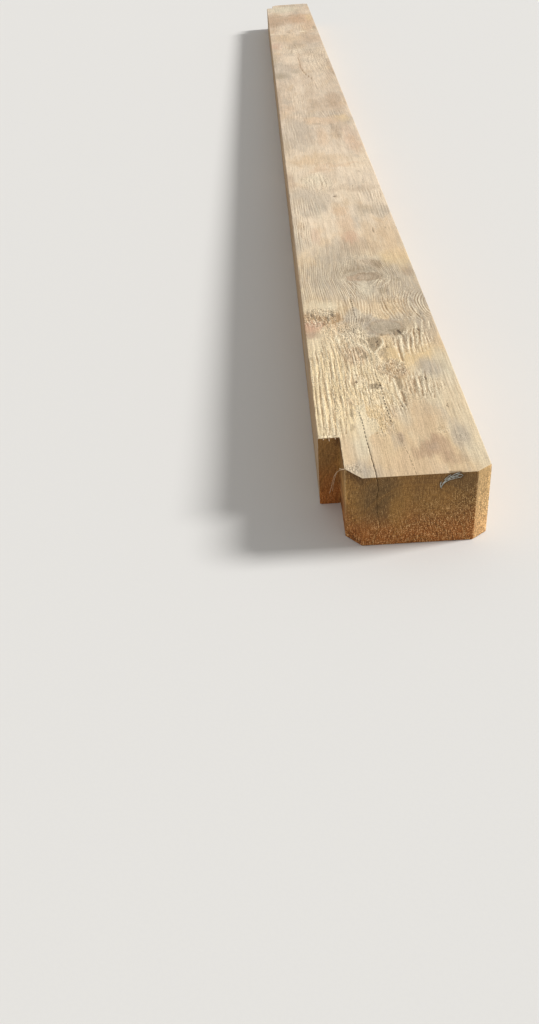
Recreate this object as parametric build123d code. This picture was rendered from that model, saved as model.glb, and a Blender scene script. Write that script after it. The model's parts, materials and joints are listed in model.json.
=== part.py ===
from build123d import *
import os

# Sawn section and length of the timber, in millimetres
beam_width = 170.0
beam_thickness = 85.0
beam_length = 3600.0

# Rounding that handling has worn on the four long arrises
arris_radius = 1.5

# Rebate at each end. It is cut from the left edge, through the whole thickness and out to the end
# face, and leaves a narrower tongue that slides into a groove.
notch_depth = 23.0
notch_length = 80.0

# Upright corners sawn off each end. Both cuts reach equally far across the end face, but the one
# beside the notch runs further along the beam than the one on the plain edge.
chamfer_across = 16.0
notched_chamfer_along = 19.0
plain_chamfer_along = 12.0

# The beam lies along Y on its broad face, its width across X. The origin is the middle of its
# underside, and the left edge is the one at -X.
left_edge = -beam_width / 2
right_edge = beam_width / 2
near_end = -beam_length / 2
shoulder = near_end + notch_length
cheek = left_edge + notch_depth
long_arris_count = 4


# Corners of the near end in plan, from the left edge round to the right edge
def near_end_corners():
    return [
        (left_edge, shoulder),
        (cheek, shoulder),
        (cheek, near_end + notched_chamfer_along),
        (cheek + chamfer_across, near_end),
        (right_edge - chamfer_across, near_end),
        (right_edge, near_end + plain_chamfer_along),
    ]


# The far end mirrors the near end, so the plan closes with the same corners in reverse order
def plan_of_beam():
    near = near_end_corners()
    far = [(x, -y) for x, y in reversed(near)]
    return make_face(Polyline(*near, *far, close=True))


# The full thickness of the timber below the plan, with its four long arrises eased. The saw cuts
# at the ends stay sharp.
def sawn_beam():
    timber = extrude(plan_of_beam(), beam_thickness)
    long_arrises = timber.edges().filter_by(Axis.Y).sort_by(SortBy.LENGTH)[-long_arris_count:]
    return fillet(long_arrises, arris_radius)


timber_beam = sawn_beam()
timber_beam.label = "timber_beam"

os.makedirs("parts", exist_ok=True)
export_step(timber_beam, "parts/timber_beam.step")
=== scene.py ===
import json
import math
from functools import reduce
import bpy
import numpy as np
from mathutils import Matrix, Vector


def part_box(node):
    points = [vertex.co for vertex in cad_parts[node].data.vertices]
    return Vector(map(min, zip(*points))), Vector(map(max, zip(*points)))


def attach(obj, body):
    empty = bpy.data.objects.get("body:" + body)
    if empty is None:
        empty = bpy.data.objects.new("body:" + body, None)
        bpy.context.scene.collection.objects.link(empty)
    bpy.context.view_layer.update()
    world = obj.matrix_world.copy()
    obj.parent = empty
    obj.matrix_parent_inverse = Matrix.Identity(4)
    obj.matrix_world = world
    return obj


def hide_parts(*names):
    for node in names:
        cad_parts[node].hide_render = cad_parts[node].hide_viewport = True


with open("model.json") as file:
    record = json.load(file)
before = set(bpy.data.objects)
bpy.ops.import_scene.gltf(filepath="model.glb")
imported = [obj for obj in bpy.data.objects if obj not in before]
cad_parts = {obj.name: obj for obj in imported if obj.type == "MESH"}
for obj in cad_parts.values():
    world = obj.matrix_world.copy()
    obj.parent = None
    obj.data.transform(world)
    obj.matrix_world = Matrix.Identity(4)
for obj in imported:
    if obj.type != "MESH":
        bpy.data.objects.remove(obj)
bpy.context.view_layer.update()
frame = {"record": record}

mm = 0.001                        # in metres

# Camera, placed as the photograph was taken, in metres and degrees from the beam's own origin
photoView = {
    "imageHeight": 1024,
    "focalPixels": 914.15,
    "across": -0.1198,
    "back": 2.5515,
    "height": 0.5866,
    "pitch": 35.48,
    "yaw": -1.49,
    "roll": -4.33,
    "nearest": 0.05,              # what lies nearer is not drawn
}


def makeCamera():
    pitch, yaw, roll = (math.radians(photoView[key]) for key in ("pitch", "yaw", "roll"))
    forward = np.array([math.sin(yaw) * math.cos(pitch), math.cos(yaw) * math.cos(pitch), -math.sin(pitch)])
    level = np.array([math.cos(yaw), -math.sin(yaw), 0.0])
    upright = np.cross(level, forward)
    right = math.cos(roll) * level + math.sin(roll) * upright
    up = math.cos(roll) * upright - math.sin(roll) * level
    place = (photoView["across"], -photoView["back"], photoView["height"])
    camera = bpy.data.objects.new("camera", bpy.data.cameras.new("camera"))
    camera.data.lens = photoView["focalPixels"] / photoView["imageHeight"] * camera.data.sensor_width
    rows = [(*axes, shift) for axes, shift in zip(zip(right, up, -forward), place)]
    camera.matrix_world = Matrix([*rows, (0, 0, 0, 1)])
    camera.data.clip_start = photoView["nearest"]
    bpy.context.collection.objects.link(camera)
    bpy.context.scene.camera = camera


# Node helpers: a wire wraps one socket, so that maths on it reads as a plain expression
class Wire:
    def __init__(self, net, socket):
        self.net, self.socket = net, socket


# Each operator adds a maths node, with the wire on its left or on its right
def giveOperator(name, operation):
    setattr(Wire, f"__{name}__", lambda wire, other: wire.net.math(operation, wire, other))
    setattr(Wire, f"__r{name}__", lambda wire, other: wire.net.math(operation, other, wire))


giveOperator("add", "ADD")
giveOperator("sub", "SUBTRACT")
giveOperator("mul", "MULTIPLY")
giveOperator("truediv", "DIVIDE")
giveOperator("pow", "POWER")


class Net:
    def __init__(self, tree):
        self.tree = tree

    # Any node: its type, its settings, and the values or links of its sockets by identifier
    def node(self, kind, settings, values, output=0):
        made = self.tree.nodes.new(kind)
        for name, value in settings.items():
            setattr(made, name, value)
        sockets = {socket.identifier: socket for socket in made.inputs}
        for name, value in values.items():
            if isinstance(value, Wire):
                self.tree.links.new(value.socket, sockets[name])
            else:
                sockets[name].default_value = value
        results = {socket.identifier: socket for socket in made.outputs}
        return Wire(self, made.outputs[output] if isinstance(output, int) else results[output])

    def math(self, operation, a, b=0.0, c=0.0):
        values = {"Value": a, "Value_001": b, "Value_002": c}
        return self.node("ShaderNodeMath", {"operation": operation}, values)

    def larger(self, a, b):
        return self.math("MAXIMUM", a, b)

    def vector(self, operation, a, b=(0.0, 0.0, 0.0), output="Vector"):
        values = {"Vector": a, "Vector_001": b}
        return self.node("ShaderNodeVectorMath", {"operation": operation}, values, output)

    def scaled(self, vector, factor):
        values = {"Vector": vector, "Scale": factor}
        return self.node("ShaderNodeVectorMath", {"operation": "SCALE"}, values, "Vector")

    def split(self, vector):
        first = self.node("ShaderNodeSeparateXYZ", {}, {"Vector": vector})
        return [Wire(self, socket) for socket in first.socket.node.outputs]

    def joined(self, x, y, z):
        return self.node("ShaderNodeCombineXYZ", {}, {"X": x, "Y": y, "Z": z})

    # Noise from 0 to 1. sizes are how far it runs along X, Y and Z before it changes, in mm
    def noise(self, point, sizes, detail=2.0, roughness=0.5):
        place = self.vector("MULTIPLY", point, tuple(1 / size for size in sizes))
        return self.node("ShaderNodeTexNoise", {"noise_dimensions": "3D"}, {
            "Vector": place, "Scale": 1.0, "Detail": detail, "Roughness": roughness})

    # Noise about 0, which sways by half the amount either way
    def sway(self, point, sizes, amount, detail=2.0, roughness=0.5):
        return (self.noise(point, sizes, detail, roughness) - 0.5) * amount

    # 0 below low and 1 above high, smoothly, and the other way round where low is the larger
    def rise(self, value, low, high):
        ends = {"From Min": low, "From Max": high} if low < high else {
            "From Min": high, "From Max": low, "To Min": 1.0, "To Max": 0.0}
        return self.node("ShaderNodeMapRange", {"interpolation_type": "SMOOTHSTEP"}, {"Value": value, **ends})

    def blend(self, a, b, factor):
        return self.node("ShaderNodeMix", {"data_type": "RGBA"}, {
            "A_Color": a, "B_Color": b, "Factor_Float": factor}, "Result_Color")

    # Lays colours over one another, each with its share
    def painted(self, colour, layers):
        for tone, share in layers:
            colour = self.blend(colour, colours[tone], share)
        return colour


def srgb(red, green, blue):
    def linear(value):
        share = value / 255
        return share / 12.92 if share <= 0.04045 else ((share + 0.055) / 1.055) ** 2.4
    return (linear(red), linear(green), linear(blue), 1.0)


# The beam's own sizes, in mm, read from the frame: its box, and the faces of its end notches
boxLow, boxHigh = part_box("timber_beam")
mounts = {mount["name"]: mount["pos_m"] for mount in frame["record"]["mounts"]}
left, right = boxLow[0] / mm, boxHigh[0] / mm
nearEnd, farEnd = boxLow[1] / mm, boxHigh[1] / mm
thickness = boxHigh[2] / mm
cheek = mounts["near_notch_cheek"][0] / mm
nearShoulder = mounts["near_notch_shoulder"][1] / mm
farShoulder = mounts["far_notch_shoulder"][1] / mm

# How the tree grew, in mm: the pith runs a little askew, so the rings make long arches on the wide faces
growth = {
    "pithNear": (14.0, -6.0),     # x and z at the near end
    "pithFar": (-8.0, 4.0),
    "ringWidth": 4.3,
    "wander": 15.0,               # slow bending of the rings
    "ripple": 3.6,                # quicker waviness on top of it
    "branchSlant": 25.0,          # how far along the trunk a branch leans
    "branchShows": (10.0, 40.0),  # how far from the pith it starts to show, and shows fully
    "knotEdge": (1.25, 0.8),      # where a knot ends, as shares of its radius
}

# Knots where they leave a face, in mm: the middle, the radius, how far the grain bends round them, how much
# the rings swell there, how grey they have weathered, how wide the bend is for its length and how plainly
# they show. Those with no radius are only swirls in the grain.
knots = [
    (19, -1453, 85, 21, 46, 16, 1, 0.3, 0.7), (-3, -1487, 85, 0, 20, 9, 0, 0.52, 0.7),
    (14, -1566, 85, 0, 34, 17, 0, 0.52, 0.7), (10, -1274, 85, 12, 44, 17, 1, 0.52, 0.45),
    (-32.5, -1596, 85, 1.6, 14, 6, 0, 0.52, 0.7), (84, -1385, 85, 0, 38, 18, 0, 0.52, 0.7),
    (-2, -880, 85, 3, 16, 5, 0.4, 0.52, 0.5), (-30, -770, 85, 0, 30, 12, 0, 0.52, 0.7),
    (-17, -707, 85, 9, 30, 10, 0.6, 0.52, 0.15), (-2, -323, 85, 10, 28, 9, 0.8, 0.52, 0.3),
    (-12, 640, 85, 0, 40, 16, 0, 0.52, 0.7), (-18, 1050, 85, 4, 18, 5, 0.5, 0.52, 0.5),
    (0, 1472, 85, 5, 18, 6, 0.6, 0.52, 0.5), (85, -1265, 50, 9, 26, 8, 0.1, 0.52, 0.7),
    (85, -330, 38, 12, 30, 9, 0.1, 0.52, 0.7), (85, 905, 55, 7, 24, 8, 0, 0.52, 0.7),
    (-85, -700, 42, 10, 28, 9, 0.1, 0.52, 0.7), (-85, 480, 50, 8, 26, 8, 0, 0.52, 0.7),
    (30, -690, 0, 6, 22, 7, 0, 0.52, 0.7), (-35, 640, 0, 7, 22, 7, 0, 0.52, 0.7),
]


def pithAt(y):
    share = (y - nearEnd) / (farEnd - nearEnd)
    return tuple(a + (b - a) * share for a, b in zip(growth["pithNear"], growth["pithFar"]))


# Where each point lies in the growth of the tree: its distance from the pith, and how much it is in a knot.
# Works in shader and geometry trees alike, so that the relief and the colours agree.
def growthField(net, point, withKnots=True):
    moved = point
    knotShare = knotRings = greyed = shown = swelling = net.math("MULTIPLY", 0.0, 0.0)
    ragged = net.sway(point, (9.0, 12.0, 9.0), 0.5)
    for x, y, z, size, reach, swell, grey, slender, plainness in knots if withKnots else []:
        pithX, pithZ = pithAt(y)
        root = (pithX, y - growth["branchSlant"], pithZ)
        line = np.array((x, y, z)) - root
        length = float(np.linalg.norm(line))
        direction = tuple(line / length)
        away = net.vector("SUBTRACT", point, root)
        along = net.vector("DOT_PRODUCT", away, direction, "Value")
        across = net.vector("SUBTRACT", away, net.scaled(direction, along))
        flowing = net.vector("MULTIPLY", across, (1 / reach, slender / reach, 1 / reach))
        pointed = net.vector("DOT_PRODUCT", net.vector("ABSOLUTE", flowing), (0.55, 0.55, 0.55), "Value")
        rounded = net.vector("LENGTH", flowing, output="Value") * 0.55
        outward = net.rise(along, *growth["branchShows"])
        near = net.math("EXPONENT", (pointed + rounded) ** 1.5 * -1.0) * outward
        sideways = net.vector("MULTIPLY", across, (0.4, 0.0, 0.4))
        moved = net.vector("SUBTRACT", moved, net.scaled(sideways, near))
        swelling = swelling + near * swell
        if size:
            off = net.vector("LENGTH", across, output="Value")
            radius = net.larger(along, 5.0) * (size / length)
            inside = net.rise(off / radius + ragged, *growth["knotEdge"]) * outward
            knotShare = net.larger(knotShare, inside)
            knotRings = knotRings + off * inside * (growth["ringWidth"] / (0.8 + size * 0.09))
            greyed = greyed + inside * grey
            shown = net.larger(shown, inside * plainness)
    x, y, z = net.split(moved)
    pithX, pithZ = pithAt(y)
    offX, offZ = x - pithX, z - pithZ
    slow = net.sway(moved, (70.0, 420.0, 70.0), growth["wander"], 1.0)
    quick = net.sway(moved, (15.0, 80.0, 15.0), growth["ripple"], 1.0)
    radial = net.math("SQRT", offX * offX + offZ * offZ) + slow + quick - swelling
    radial = radial * (1 - knotShare) + knotRings
    return {"radial": radial, "knot": knotShare, "moved": moved, "greyed": greyed, "shown": shown}


# How the weather has worked the top face, in mm: middle, half sizes and strength.
# Ridged is grain raised into long ridges, crumbled is a torn and pitted skin.
ridged = [
    (-67, -1600, 22, 125, 0.4), (10, -1632, 17, 46, 0.35), (46, -1488, 32, 42, 0.3), (42, -1612, 22, 32, 0.3),
    (-18, -1500, 32, 40, 0.55), (52, -1385, 32, 55, 0.3), (-30, -1560, 50, 130, 0.5), (12, -1275, 46, 85, 0.15),
    (-30, -790, 34, 75, 0.2), (40, 500, 44, 220, 0.3),
]
crumbled = [
    (-62, -1408, 27, 34, 0.75), (-26, -1462, 18, 30, 0.75), (-47, -1452, 20, 36, 0.55),
    (4, -1410, 40, 18, 0.25), (44, -1490, 34, 42, 0.3), (40, -1615, 26, 36, 0.3), (-66, -1600, 24, 125, 0.15),
    (58, -1375, 30, 60, 0.12), (-30, -1520, 18, 42, 0.6), (14, -1568, 22, 26, 0.75), (-12, -1665, 16, 60, 0.5),
    (-14, -1615, 16, 26, 0.7), (28, -1440, 54, 70, 0.12), (4, -1212, 24, 40, 0.15), (-10, 700, 40, 100, 0.25),
    (-74, -1717, 16, 6, 0.8), (48, -1716, 7, 9, 0.35), (64, -1734, 7, 14, 0.2), (-54, -1782, 9, 9, 0.55),
]

# Lines cut into the top by the weather, in mm: half width, strength, the points along it and, where it
# repeats, how many lie side by side and how far apart. Furrows are dark and sunken, crests are what stands
# pale between them. Their dark is partly painted shade and their pale partly painted highlight.
furrows = [
    (0.6, 0.7, [(-82.5, -1505), (-81, -1560), (-81.5, -1640), (-82, -1712)]),
    (0.7, 0.9, [(-76, -1512), (-74, -1530), (-73, -1548), (-74.5, -1575), (-75.5, -1600), (-77, -1640),
        (-76.5, -1680), (-78, -1712)]),
    (0.87, 0.85, [(-67, -1512), (-66, -1535), (-67, -1560), (-69, -1600), (-69.5, -1635), (-68.5, -1665),
        (-70, -1690), (-72, -1712)]),
    (0.75, 0.9, [(-60, -1508), (-59, -1535), (-59.5, -1565), (-61, -1600), (-61, -1640), (-62, -1665),
        (-64, -1700), (-65, -1714)]),
    (0.7, 0.8, [(-54, -1498), (-51.5, -1525), (-51, -1560), (-52, -1600), (-53, -1645), (-50, -1667),
        (-52, -1690), (-54, -1712)]),
    (0.8, 0.8, [(-49, -1496), (-44, -1508), (-41, -1530), (-39.5, -1560)]),
    (0.8, 0.8, [(-40, -1562), (-42, -1575), (-45, -1598), (-46, -1630)]),
    (0.6, 0.9, [(-62.5, -1494), (-62.5, -1505)]), (1.72, 0.5, [(-64, -1602), (-63.5, -1622)]),
    (0.7, 0.6, [(-57, -1640), (-56.5, -1665), (-58, -1700)]),
    (0.86, 0.7, [(-26.5, -1652), (-27, -1662), (-25, -1676)]),
    (0.7, 0.6, [(-10, -1648), (-9.5, -1675), (-11, -1706)]), (0.8, 0.8, [(6, -1478), (9, -1490)]),
    (0.8, 0.7, [(3.5, -1497), (-1, -1516)]), (2.4, 0.6, [(-24, -1560), (-24, -1582)]),
    (0.7, 0.9, [(-16.5, -1561), (-17, -1568)]), (0.94, 0.7, [(13.5, -1480), (14, -1512)]),
    (1.46, 0.8, [(26, -1476), (24.5, -1490), (24, -1503)]),
    (1.29, 0.9, [(30, -1492), (28.5, -1508), (28, -1530), (28.5, -1549)]),
    (1.21, 0.9, [(38.5, -1476), (37, -1495), (37, -1512), (35.5, -1526)]),
    (1.29, 0.8, [(48, -1480), (46, -1496), (43.5, -1510)]),
    (1.29, 0.8, [(54, -1463), (52, -1485), (50.5, -1505), (48.5, -1526)]),
    (1.29, 0.8, [(61, -1461), (59, -1482), (56.5, -1500), (53, -1513)]),
    (0.78, 0.8, [(66.5, -1473), (64.5, -1487)]), (0.78, 0.8, [(44.5, -1467), (41.5, -1479)], 2, 4.2),
    (0.78, 0.7, [(63, -1430), (61, -1457)], 3, 8), (1.37, 0.9, [(16.5, -1628), (17.5, -1642), (16, -1652)]),
    (0.86, 0.9, [(10.5, -1632), (11, -1648), (13, -1661)]), (0.78, 0.8, [(3.5, -1638), (3, -1656)]),
    (1.03, 0.8, [(8, -1588), (6.5, -1603)]), (0.78, 0.7, [(23, -1603), (26, -1618), (28, -1632)]),
    (1.72, 0.75, [(33.5, -1598), (34, -1614), (32, -1630)]),
    (1.11, 0.9, [(41.5, -1592), (41, -1612), (39.5, -1638)]),
    (0.94, 0.85, [(47.5, -1603), (46.5, -1620), (45, -1632)]),
    (0.78, 0.85, [(53, -1603), (51.5, -1620), (51, -1645)]), (0.8, 0.6, [(57, -1600), (56, -1630)]),
    (0.8, 0.7, [(44, -1572), (43, -1590), (43, -1604)]), (0.86, 0.7, [(-80, -1385), (-76, -1430)], 5, 7.5),
    (0.78, 0.7, [(-34, -1345), (-35, -1375), (-33, -1410)], 3, 8),
    (0.78, 0.6, [(-30, -1290), (-25, -1312), (-19, -1342)], 3, 6.5),
    (0.78, 0.7, [(-19, -1283), (-10, -1305)], 3, 6.5), (0.78, 0.7, [(33, -1290), (25, -1312)], 3, 7),
    (0.9, 0.7, [(-74, -1018), (-77, -1060), (-76, -1100)], 3, 4.2),
    (1, 0.6, [(62, -868), (59, -905)], 4, 6), (1.4, 0.5, [(26, -820), (22, -862)], 3, 9),
    (0.8, 0.9, [(26.5, -1352), (26, -1372), (28, -1396), (33, -1414), (40, -1428)]),
    (0.8, 0.8, [(40, -1350), (41, -1375), (44, -1400), (51, -1420)]),
    (0.8, 0.8, [(46, -1352), (46.5, -1380), (50, -1405), (57, -1420)]),
    (0.86, 0.9, [(-19, -1281), (-14, -1291), (-10, -1301)]),
    (0.86, 0.6, [(-6, -1310), (-8, -1328), (-12, -1342)]), (1.5, 0.5, [(-50, -742), (-44, -762), (-43, -785)]),
    (1.4, 0.4, [(-37, -755), (-36.5, -778), (-35, -798)], 3, 7),
    (2, 0.5, [(-12, -768), (-16, -786)]), (1.8, 0.5, [(42, -345), (38, -375), (35, -420), (37, -470)]),
    (2.2, 1, [(-3, 330), (0, 290), (5, 262), (15, 212)]),
    (2.2, 0.75, [(-8, 560), (-6, 450), (-8, 400), (-3, 330)]),
    (2.4, 0.45, [(28, -205), (34, -228), (30, -252)], 3, 9),
    (2.4, 0.45, [(-46, -205), (-42, -235), (-44, -262)], 3, 10),
    (2, 0.45, [(-55, -12), (-52, -50), (-54, -90)], 4, 10),
    (2.6, 0.45, [(18, 1090), (24, 1150), (27, 1215)], 3, 9),
    (2.6, 0.45, [(-70, 1080), (-69, 1160), (-66, 1240)], 3, 9),
]
crests = [
    (0.86, 1, [(-29, -1468), (-27, -1482), (-23, -1492), (-15, -1502), (-11, -1512), (-7, -1520)]),
    (0.86, 0.9, [(11, -1482), (10.5, -1498), (6, -1508), (0, -1517), (-3, -1526)]),
    (0.78, 0.8, [(-17, -1470), (-13, -1480), (-9, -1490), (-8.5, -1502), (-7.5, -1514)]),
    (0.94, 0.8, [(-37, -1462), (-35, -1474), (-32, -1496), (-31.5, -1508)]),
    (0.78, 0.9, [(28.5, -1480), (26, -1500), (25.5, -1518), (27, -1538)]),
    (0.86, 1, [(34, -1478), (34, -1500), (33, -1515), (32, -1536)]),
    (0.78, 0.9, [(43, -1484), (41.5, -1503), (40, -1520)]),
    (0.78, 0.9, [(50.5, -1484), (48.5, -1500), (46, -1514)], 2, 6),
    (0.78, 0.8, [(65, -1464), (63, -1478), (60, -1494)]), (0.8, 1, [(60, -1437), (57.5, -1461)], 3, 8.5),
    (0.8, 0.9, [(41.5, -1467), (39, -1476)], 3, 4.3),
    (0.94, 1, [(12, -1594), (11.2, -1615), (12.5, -1640), (14.5, -1656)]),
    (0.78, 0.8, [(5.5, -1632), (5.5, -1656)]), (0.78, 0.8, [(20.5, -1598), (20.5, -1620)]),
    (0.86, 1, [(37.5, -1596), (37.5, -1615), (36, -1632)]), (0.78, 0.9, [(44.5, -1596), (44, -1625)]),
    (0.8, 0.9, [(49.5, -1602), (49, -1628)]), (0.8, 0.8, [(46, -1574), (44.5, -1598)]),
    (1.37, 0.5, [(-29, -1650), (-28, -1690)]),
    (0.9, 0.45, [(-23, -1277), (-8, -1260), (12, -1254), (30, -1257), (41, -1267)]),
    (0.9, 0.45, [(-23, -1280), (-8, -1293), (8, -1296), (28, -1287), (41, -1270)]),
    (0.85, 0.9, [(-51, -1445), (-45, -1457), (-37, -1467), (-31, -1480)]),
    (0.8, 0.8, [(-41, -1441), (-34, -1451), (-27, -1461), (-24, -1472)]),
    (0.8, 0.8, [(-23, -1442), (-30, -1455), (-39, -1466)]),
    (0.8, 0.8, [(-59, -1464), (-53, -1474), (-51, -1490)]),
    (0.8, 0.8, [(-20, -1450), (-14, -1460), (-9, -1472)]), (3.5, 0.5, [(-47, -1362), (-45, -1378)]),
    (3.5, 0.6, [(-45, -1470), (-44, -1486)]), (0.78, 0.8, [(30, -1285), (22, -1300), (12, -1312)], 3, 8),
    (6, 0.7, [(-84, 1030), (-30, 1038), (15, 1044), (55, 1070), (84, 1110)]),
    (0.9, 0.5, [(-54, -745), (-52, -770), (-55, -800)], 3, 6.5),
]
# Fine drying cracks, which show as dashes: half width, strength and the points along them
cracks = [
    (0.75, 0.9, [(-16, -1340), (-16.5, -1390), (-15.5, -1415), (-16, -1438)]),
    (0.7, 0.7, [(-8, -1515), (-8, -1560), (-7.5, -1588)]),
    (0.8, 1, [(-7.5, -1588), (-5.3, -1603), (-5.2, -1640), (-4.5, -1664), (-3.5, -1694)]),
    (0.6, 0.35, [(-3.5, -1694), (-2, -1715), (3, -1740)]),
    (0.65, 0.55, [(3.5, -1744), (6.5, -1770), (8.5, -1799)]),
    (0.7, 1, [(-35.6, -1668), (-34.2, -1705), (-33.4, -1745)]), (0.5, 0.5, [(63, -1655), (61.5, -1666)]),
]
# Small dark marks, as rows like those of the furrows
marks = [
    (2, 1, [(34, -1464), (36, -1468)]), (1.6, 0.45, [(11.5, -1472), (12, -1475)]),
    (1.1, 0.8, [(36, -1472), (38, -1475)]), (1, 0.7, [(27.5, -1471), (28.5, -1474)]),
    (1.2, 0.8, [(58.5, -1461), (60, -1464)]), (1, 0.6, [(4, -1498), (5, -1503)]),
    (1, 0.8, [(3, -1493), (4.5, -1490)]), (0.9, 0.5, [(14, -1505), (14, -1509)]),
    (1, 1, [(-32.5, -1594), (-32.5, -1598)]), (1, 0.8, [(-17.8, -1447), (-18.2, -1450)]),
    (0.9, 0.7, [(-21.8, -1453), (-22.2, -1460)]), (1, 0.9, [(17, -1655), (18, -1659)]),
    (0.9, 0.8, [(12, -1658), (13, -1660)]), (1.1, 0.8, [(47.5, -1595), (48.5, -1599)]),
    (0.8, 0.8, [(61.3, -1664.5), (61.6, -1667)]), (1.5, 1, [(-74, -1396), (-73, -1402)]),
    (1.4, 0.9, [(-46, -1398), (-46, -1404)]), (1.2, 0.8, [(-53, -1405), (-51.5, -1417)]),
    (1, 0.4, [(44, -1713), (45, -1719)], 3, 2), (2.4, 0.35, [(2, -1722), (2, -1733)]),
    # The mark along the near upper edge, over its dent, is painted shade in that dent
    (1, 0.4, [(56, -1577), (57, -1582)]), (1.2, 0.9, [(41, -1798.4), (52, -1798.8)]),
    (3, 0.4, [(-10, -1604), (-11, -1614)]), (2.6, 0.5, [(55, -729), (56, -731)]),
    (2.2, 0.6, [(56, -788), (56, -791)]), (2.4, 0.6, [(65, -1062), (65, -1068)]),
    (1.8, 0.5, [(45, -1060), (45, -1082)]), (2.4, 0.6, [(-4, -880), (-2, -881)]),
    (2, 0.4, [(-18, -904), (-14, -906)]), (2, 0.4, [(57, -1285), (59, -1287)]),
]

# Patches with a clear edge, as strengths and outlines on the top in mm. Dulled ones are old grey-brown skin,
# bared ones are pale wood that was torn open.
dulled = [
    (1, [(-8, -1482), (-5, -1478), (3, -1477), (8, -1480), (9.5, -1490), (8, -1500), (4, -1508), (0, -1514),
        (-3, -1519), (-5, -1512), (-9, -1506), (-8.5, -1495)]),
    (0.6, [(-43, -1655), (-41, -1662), (-41, -1672), (-44, -1682), (-47, -1676), (-48, -1666), (-46, -1658)]),
    (0.6, [(-45, -1692), (-43, -1700), (-45, -1709), (-49, -1709), (-50, -1702), (-48, -1694)]),
    (0.85, [(14, -1587), (17, -1588), (19.5, -1600), (19, -1612), (17, -1623), (14, -1621), (13, -1605)]),
    (0.7, [(15, -1630), (18.5, -1632), (19, -1646), (18, -1656), (15.5, -1655), (15, -1643)]),
    (0.7, [(22, -1460), (30, -1457), (38, -1456), (44, -1457), (43, -1464), (40, -1470), (36, -1476),
        (31, -1477), (28, -1472), (25, -1466)]),
    (0.8, [(8, -1470), (13, -1469), (15, -1474), (12, -1478), (9, -1476)]),
    (0.6, [(23, -1480), (27, -1478), (28, -1490), (26, -1503), (23.5, -1500), (24, -1490)]),
    (0.5, [(57, -1462), (63, -1459), (62, -1475), (58, -1487), (55.5, -1475)]),
    (0.5, [(41, -1488), (47, -1486), (46, -1500), (43, -1511), (40, -1508)]),
    (0.8, [(-19, -1602), (-10, -1600), (-5, -1604), (-6, -1612), (-10, -1617), (-17, -1613)]),
    (0.7, [(-20, -1525), (-14, -1521), (-11, -1530), (-12, -1539), (-18, -1538), (-21, -1531)]),
    (0.4, [(-52, -1497), (-46, -1500), (-40, -1512), (-38, -1535), (-38, -1560), (-42, -1562), (-44, -1540),
        (-46, -1520), (-50, -1507)]),
    (0.55, [(8, -1508), (13, -1510), (13, -1530), (11, -1550), (6, -1548), (5, -1530)]),
    (0.55, [(26, -1505), (30, -1500), (31, -1530), (30, -1548), (28, -1550), (26.5, -1530)]),
    (0.55, [(33, -1597), (35.5, -1600), (35, -1622), (32.5, -1631), (31.5, -1615)]),
    (0.6, [(44.5, -1600), (49, -1598), (48, -1618), (45.5, -1630), (44, -1615)]),
    (0.5, [(-26, -1503), (-20, -1508), (-18, -1518), (-25, -1524), (-30, -1512)]),
    (0.35, [(-40, -1508), (-33, -1510), (-31, -1530), (-33, -1552), (-39, -1548), (-37, -1528)]),
    (0.55, [(-15, -1475), (-11, -1482), (-11, -1494), (-15, -1492), (-19, -1482)]),
    (0.5, [(-43, -1478), (-37, -1482), (-37, -1498), (-42, -1494)]),
    (0.6, [(23, -1207), (34, -1206), (39, -1222), (40, -1248), (33, -1240), (27, -1224)]),
    (0.45, [(-20, -1250), (-8, -1238), (6, -1234), (6, -1244), (-6, -1250), (-16, -1262)]),
    (0.55, [(22, -1318), (36, -1316), (38, -1330), (30, -1342), (24, -1334)]),
    (0.3, [(66, -1250), (82, -1246), (84, -1282), (72, -1290), (66, -1272)]),
    (0.5, [(48, -1284), (60, -1280), (62, -1300), (52, -1302)]),
    (0.3, [(30, -952), (48, -940), (50, -985), (34, -990)]),
    (0.25, [(60, -962), (82, -955), (82, -990), (64, -985)]),
    (0.45, [(-6, -862), (2, -866), (1, -896), (-6, -900)]),
    (0.5, [(-14, -318), (6, -318), (8, -334), (-12, -336)]),
    (0.45, [(22, -330), (42, -334), (40, -346), (24, -344)]),
    (0.5, [(-5, -98), (2, -96), (2, -165), (-4, -162)]),
    (0.6, [(-8, 355), (-1, 345), (5, 290), (-1, 300), (-9, 330)]),
    (0.45, [(-84, 230), (-64, 225), (-50, 270), (-62, 305), (-84, 300)]),
    (0.5, [(-24, 1035), (-10, 1030), (-10, 1062), (-24, 1060)]),
    (0.5, [(-8, 1455), (12, 1462), (10, 1490), (-8, 1488)]),
    (0.5, [(68, 1090), (84, 1080), (84, 1165), (70, 1150)]),
]
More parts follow.
